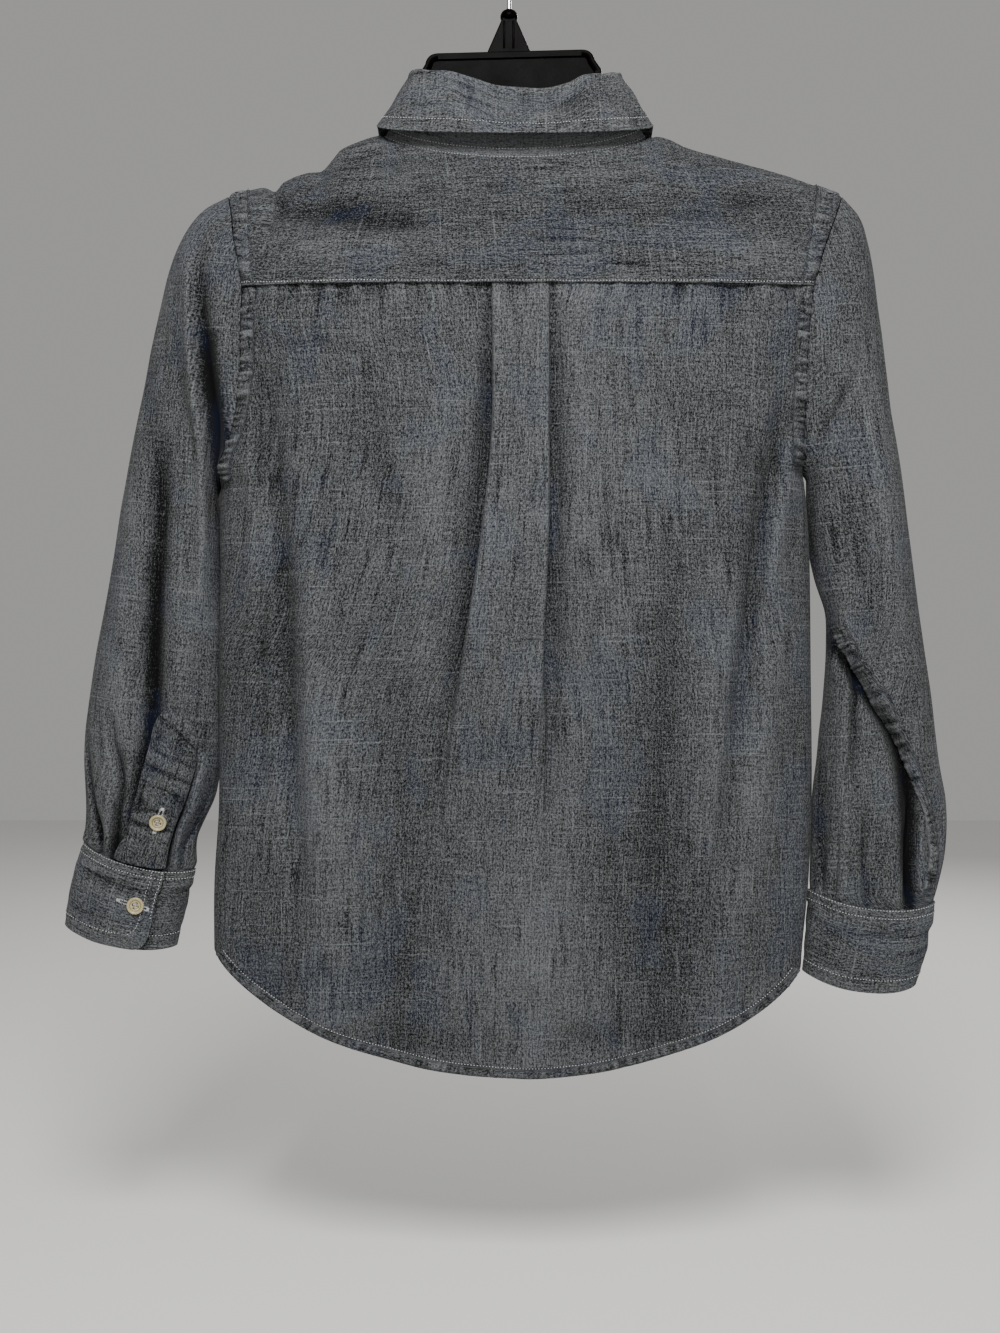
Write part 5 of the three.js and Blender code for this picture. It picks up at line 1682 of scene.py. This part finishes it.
def buttonBlank():  # made once at the origin, facing +Z
    bm = bmesh.new()
    r, t = button["radius"], button["thickness"] / 2
    dish = t - button["dish"]
    spun(bm, [(0, -t), (r - 1.2, -t), (r - 0.2, -t * 0.4), (r, t * 0.2), (r - 0.3, t * 0.8),
              (r - 0.7, t), (r - button["rim"], t * 0.8), (r - button["rim"] - 0.6, dish + 0.1),
              (r - button["rim"] - 1, dish), (0, dish)], 40)
    # faces in the groove inside the rim get the painted shade material
    for face in bm.faces:
        middle = face.calc_center_median()
        grooveShaded = r - button["rim"] - 1 < middle.xy.length < r - button["rim"] - 0.55
        face.material_index = int(grooveShaded and middle.z > 0)
    disc = toMesh("buttonBlank", bm)
    drill = bmesh.new()
    for i in range(4):
        turn = pi / 4 + i * pi / 2
        at = (button["spacing"] * cos(turn), button["spacing"] * sin(turn), 0)
        bmesh.ops.create_cone(drill, cap_ends=True, segments=12, radius1=button["hole"],
                              radius2=button["hole"], depth=6, matrix=Matrix.Translation(at))
    # the hole walls get the painted shade material too
    for face in drill.faces:
        face.material_index = 1
    drillMesh = toMesh("buttonDrill", drill)
    for mesh in (disc, drillMesh):
        for look in (ivory, ivoryGrooveShade):
            mesh.materials.append(look)
    blank, cutter = addObject("buttonBlank", disc), addObject("buttonDrill", drillMesh)
    cut = blank.modifiers.new("holes", "BOOLEAN")
    cut.object = cutter
    cut.operation = "DIFFERENCE"
    cut.solver = "EXACT"
    bpy.context.view_layer.update()
    shaped = bpy.data.meshes.new_from_object(
        blank.evaluated_get(bpy.context.evaluated_depsgraph_get()))
    for thing in (blank, cutter):
        bpy.data.objects.remove(thing)
    return shaped


blankMesh = buttonBlank()


def facing(place, out, along):  # a turn and a place: +Z goes to out and +X along
    z = out.normalized()
    x = (along - z * along.dot(z)).normalized()
    return Matrix.Translation(place * mm) @ axes(x, z.cross(x), z) @ Matrix.Scale(mm, 4)


def addThread(bm, a, b, width):  # a short round length of thread between two points
    along = b - a
    spin = along.to_track_quat("Z", "Y").to_matrix().to_4x4()
    bmesh.ops.create_cone(bm, cap_ends=True, segments=6, radius1=width, radius2=width,
                          depth=along.length, matrix=Matrix.Translation((a + b) / 2) @ spin)


def addHole(bm, spot, hint):  # a worked buttonhole; spot(a, b) is the cloth a along and b across
    h = buttonhole
    half = h["length"] / 2
    rows = [(lerp(-half, half, i / 28), side * (h["gap"] + h["stitch"]) / 2, h["stitch"])
            for i in range(29) for side in (-1, 1)]
    rows += [(end * (half + i * 0.42), 0, h["bar"]) for end in (-1, 1) for i in range(4)]
    for a, b, size in rows:
        middle = spot(a, b)
        across = (spot(a, b + 0.4) - spot(a, b - 0.4)).normalized()
        along = (spot(a + 0.4, b) - spot(a - 0.4, b)).normalized()
        out = toward(hint, along.cross(across).normalized())
        wander = 1 + 0.15 * noiseAt(a * 3.1, b, 4.4)
        addStitch(bm, middle + out * 0.62, axes(across, out.cross(across).normalized(), out),
                  (size / 2 * wander, h["pitch"] * 0.6, 0.32))


def addButton(name, node, place, out, along):
    bm = bmesh.new()
    bm.from_mesh(blankMesh)
    for face in bm.faces:
        face.smooth = abs(face.normal.z) < 0.999 or face.calc_area() < 8
    bmesh.ops.transform(bm, matrix=facing(place, out, along), verts=bm.verts)
    disc = finish(name, bm, ivory, [node])
    disc.data.materials.append(ivoryGrooveShade)
    thread = bmesh.new()
    top = button["thickness"] / 2 - button["dish"] + 0.2
    reach = button["spacing"] * 0.72
    for row in (-reach, reach):
        for shift in (-0.22, 0.22):
            a, b = Vector((-reach, row + shift, top)), Vector((reach, row - shift, top))
            addThread(thread, a, b, 0.2)
            for end in (a, b):
                addThread(thread, end, end + Vector((0, 0, -1.6)), 0.2)
    bmesh.ops.transform(thread, matrix=facing(place, out, along), verts=thread.verts)
    finish(name + "Thread", thread, paleThread, [])


buttonLift = 0.6 + button["thickness"] / 2 + 0.45
buttonRow = {"top": -224, "pitch": 78, "count": 7}
frontHoles = bmesh.new()
for i in range(buttonRow["count"]):
    z = buttonRow["top"] - i * buttonRow["pitch"]
    x = body["centre"]
    addButton(f"frontButton{i + 1}", f"button_front_{i + 1}", onPlacket(x, z, buttonLift), toFront,
              Vector((1, 0, 0.1 * (i % 3 - 1))))

    def spot(a, b):
        point = frontPoint(x + b, z + a, frontTop("left", x))
        point.y += lapStep(x) + body["layer"] + fronts["lapGap"]
        return point
    addHole(frontHoles, spot, toFront)
finish("frontButtonholes", frontHoles, paleThread)
standOut = Vector((0, 1, 0.25)).normalized()
standPlace = standPoint(1.5 * pi, 0.5) + Vector((0, body["layer"], 0)) + standOut * buttonLift
addButton("collarButton", "button_collar_stand", standPlace, standOut, Vector((1, 0, 0.2)))
cuffButton = {"down": 0.58, "turn": 1.74}
slitButton = {"u": 0.64, "v": 0.57}
for side in sides:
    hint = Vector((0, -sleeves[side]["face"], 0))
    holes = bmesh.new()

    def cuffSpot(a, b):
        down = cuffButton["down"] + (b + a * 0.2) / sleeveCut["cuffHeight"]
        return cuffOn(side, down, tau + cuffButton["turn"] + a / sleeveCut["cuffRadius"])[0]

    def slitHoleSpot(a, b):
        return slitOn(side, slitButton["u"] + b / seams["slitAcross"],
                      slitButton["v"] + a / seams["slitDown"])[0]

    for spot, kind, node in ((cuffSpot, "Cuff", "button_cuff_"),
                             (slitHoleSpot, "Slit", "button_sleeve_")):
        addHole(holes, spot, hint)
        out = toward(hint, (spot(0, 3) - spot(0, -3)).cross(spot(3, 0) - spot(-3, 0)).normalized())
        addButton(side + kind + "Button", node + side, spot(0, 0) + out * buttonLift, out,
                  Vector((1, 0, 0.3)))
    finish(side + "Buttonholes", holes, paleThread)
bpy.data.meshes.remove(blankMesh)
print("buttons ready")


# the hanger: a moulded plate and arms with a rim, a neck post and a wire hook

hanger = {
    "thickness": 8,
    "plateTop": -101,
    "plateHalf": 53.5,
    "shoulderHalf": 59,
    "shoulderDrop": 13,
    "centre": 1.2,
    "tilt": 1.5,
    "armHalf": 147,
    "armTop": -160,
    "armEnd": -191,
    "armWidth": 20,
    "postHalf": 4.8,
    "postTop": -78,
    "postDepth": 6.4,
    "rim": 3.4,
    "rimSlope": 0.7,
    "recess": 1.5,
    "round": 0.7,
}


def curveBetween(a, control, b, steps):  # points along a bend, without its first
    points = []
    for i in range(1, steps + 1):
        t = i / steps
        x = (1 - t) ** 2 * a[0] + 2 * t * (1 - t) * control[0] + t * t * b[0]
        z = (1 - t) ** 2 * a[1] + 2 * t * (1 - t) * control[1] + t * t * b[1]
        points.append((x, z))
    return points


def hangerHalf():  # the outline from the middle of the top, round the +X side, to the bottom
    h = hanger
    top, half, wide = h["plateTop"], h["plateHalf"], h["shoulderHalf"]
    points = [(0, top), (half - 7, top)]
    points += curveBetween(points[-1], (half, top), (half + 1.5, top - 7), 6)
    points += [(wide, top - h["shoulderDrop"]), (wide + 0.6, h["armTop"] + 6)]
    points += curveBetween(points[-1], (wide + 1, h["armTop"]), (wide + 8, h["armTop"] - 2), 4)
    points += curveBetween(points[-1], (h["armHalf"] - 40, h["armTop"] - 14),
                           (h["armHalf"], h["armEnd"]), 10)
    points += curveBetween(points[-1], (h["armHalf"] + 6, h["armEnd"] - 8),
                           (h["armHalf"] - 4, h["armEnd"] - h["armWidth"] * 0.8), 6)
    points += [(wide, h["armTop"] - h["armWidth"] - 12), (0, h["armTop"] - h["armWidth"] - 12)]
    return points


def tilted(point):
    level = (hanger["plateTop"] + hanger["armTop"]) / 2
    turn = hanger["tilt"] * pi / 180
    x, z = point.x, point.z - level
    return Vector((hanger["centre"] + x * cos(turn) - z * sin(turn), point.y,
                   level + z * cos(turn) + x * sin(turn)))


def slab(rim, depth):  # a flat plate, half of its depth on each side of the XZ plane
    bm = bmesh.new()
    front = bm.faces.new([bm.verts.new((x, -depth / 2, z)) for x, z in rim])
    raised = bmesh.ops.extrude_face_region(bm, geom=[front])
    pushed = [item for item in raised["geom"] if isinstance(item, bmesh.types.BMVert)]
    bmesh.ops.translate(bm, verts=pushed, vec=(0, depth, 0))
    bmesh.ops.recalc_face_normals(bm, faces=bm.faces)
    return bm


def roundEdges(bm, edges, offset, segments):
    bmesh.ops.bevel(bm, geom=edges, offset=offset, segments=segments, affect="EDGES", profile=0.5,
                    material=-1)


def hangerMoulding():
    right = hangerHalf()
    bm = slab(right + [(-x, z) for x, z in reversed(right) if x > 0], hanger["thickness"])
    bm.faces.ensure_lookup_table()
    broad = [f for f in bm.faces if abs(f.normal.y) > 0.9]
    roundEdges(bm, [e for f in broad for e in f.edges], hanger["round"], 3)
    broad = [f for f in bm.faces if abs(f.normal.y) > 0.99 and f.calc_area() > 500]
    for face in broad:
        for width in (hanger["rim"], hanger["rimSlope"]):
            way = face.normal.copy()
            bmesh.ops.inset_region(bm, faces=[face], thickness=width, depth=0, use_even_offset=True)
        bmesh.ops.translate(bm, verts=face.verts, vec=-way * hanger["recess"])
    for vert in bm.verts:
        vert.co = tilted(vert.co)
    return bm


def addPost(bm):
    h = hanger
    shape = [(-14, h["plateTop"] - 2), (14, h["plateTop"] - 2), (14, h["plateTop"]),
             (h["postHalf"], h["postTop"] - 2), (h["postHalf"], h["postTop"]),
             (-h["postHalf"], h["postTop"]), (-h["postHalf"], h["postTop"] - 2),
             (-14, h["plateTop"])]
    post = slab(shape, h["postDepth"])
    roundEdges(post, post.edges[:], 0.8, 3)
    for x in (-3.2, 2.8):  # the raised edges of the post
        made = bmesh.ops.create_cube(post, size=1)["verts"]
        bmesh.ops.scale(post, verts=made, vec=(1.5, 7.4, h["postTop"] - h["plateTop"] - 5))
        bmesh.ops.translate(post, verts=made,
                            vec=(x, 0, (h["postTop"] + h["plateTop"]) / 2 - 0.5))
        roundEdges(post, list(dict.fromkeys(e for v in made for e in v.link_edges)), 0.4, 2)
    profile = [(0, 0), (5.3, 0), (5.6, 0.5), (5.6, 2.4), (5.2, 3.6), (4.3, 4.9), (2.8, 5.8),
               (1.6, 6.1), (1.6, 6.6), (0, 6.6)]
    spun(post, [(x, z + h["postTop"] - 1) for x, z in profile], 32)
    mesh = toMesh("post", post)
    bm.from_mesh(mesh)
    bpy.data.meshes.remove(mesh)


def addHanger():
    bm = hangerMoulding()
    addPost(bm)
    for face in bm.faces:
        face.smooth = face.calc_area() < 60
    bmesh.ops.scale(bm, verts=bm.verts, vec=(mm, mm, mm))
    finish("hangerMoulding", bm, blackPlastic, ["hanger_body"])


hook = {"inside": 22, "wire": 1.5, "foot": -73.5, "start": -0.9, "end": 3.35, "steps": 26}


def addHook():
    data = bpy.data.curves.new("hookWire", "CURVE")
    data.dimensions = "3D"
    data.bevel_depth = hook["wire"] * mm
    data.bevel_resolution = 5
    data.use_fill_caps = True
    radius = hook["inside"] + hook["wire"]
    points = [(0, hook["foot"]), (0, -64), (0.5, -56), (2.4, -49), (8, -43)]
    for i in range(hook["steps"] + 1):
        angle = lerp(hook["start"], hook["end"], i / hook["steps"])
        points.append((radius * cos(angle), -hook["inside"] + radius * sin(angle)))
    line = data.splines.new("NURBS")
    line.points.add(len(points) - 1)
    for point, (x, z) in zip(line.points, points):
        point.co = (x * mm, 0, z * mm, 1)
    line.use_endpoint_u = True
    line.order_u = 4
    line.resolution_u = 3
    piece = addObject("hookWire", data)
    data.materials.append(brightWire)
    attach(piece, "root")
    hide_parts("hanger_hook")


addHanger()
addHook()
print("hanger ready")


# each piece of cloth with its flat size, what it hangs from and its parts, listed; only the parts are
# looked up

def cut(name, flat, hangsFrom, parts, area=None):
    pieces = [bpy.data.objects[part] for part in parts]


cut("backCloth", backPanel["flat"], "yokeCloth",
    ["backHemBand", "hemStitches", "leftBackArmholeBand", "rightBackArmholeBand",
     "leftArmholeStitches", "rightArmholeStitches"], backPanel["area"])
cut("yokeCloth", yoke["flat"], "hangerMoulding",
    ["leftYokeArmholeBand", "rightYokeArmholeBand", "yokeStitches"], yoke["area"])
cut("frontPlacketCloth", fronts["placketFlat"], "leftFrontCloth",
    ["placketStitches", "frontButtonholes"])
cut("collarStandCloth", collar["standFlat"], "yokeCloth", [])
cut("collarLeafCloth", collar["leafFlat"], "collarStandCloth", ["collarStitches"],
    collar["leafArea"])
for side in sides:
    cut(side + "FrontCloth", fronts["flat"], "yokeCloth",
        [side + "FrontHemBand", side + "FrontArmholeBand"], fronts["area"])
    cut(side + "SleeveCloth", sleeveCut["flat"], "yokeCloth",
        [side + "SleeveSeamBand"] + (["sleeveSeamStitches"] if side == "left" else []),
        sleeveCut["area"])
    cut(side + "CuffCloth", sleeveCut["cuffFlat"], side + "SleeveCloth",
        [side + "CuffStitches", side + "Buttonholes"])
    cut(side + "SlitPlacket", slit["flat"], side + "SleeveCloth", [side + "SlitStitches"])
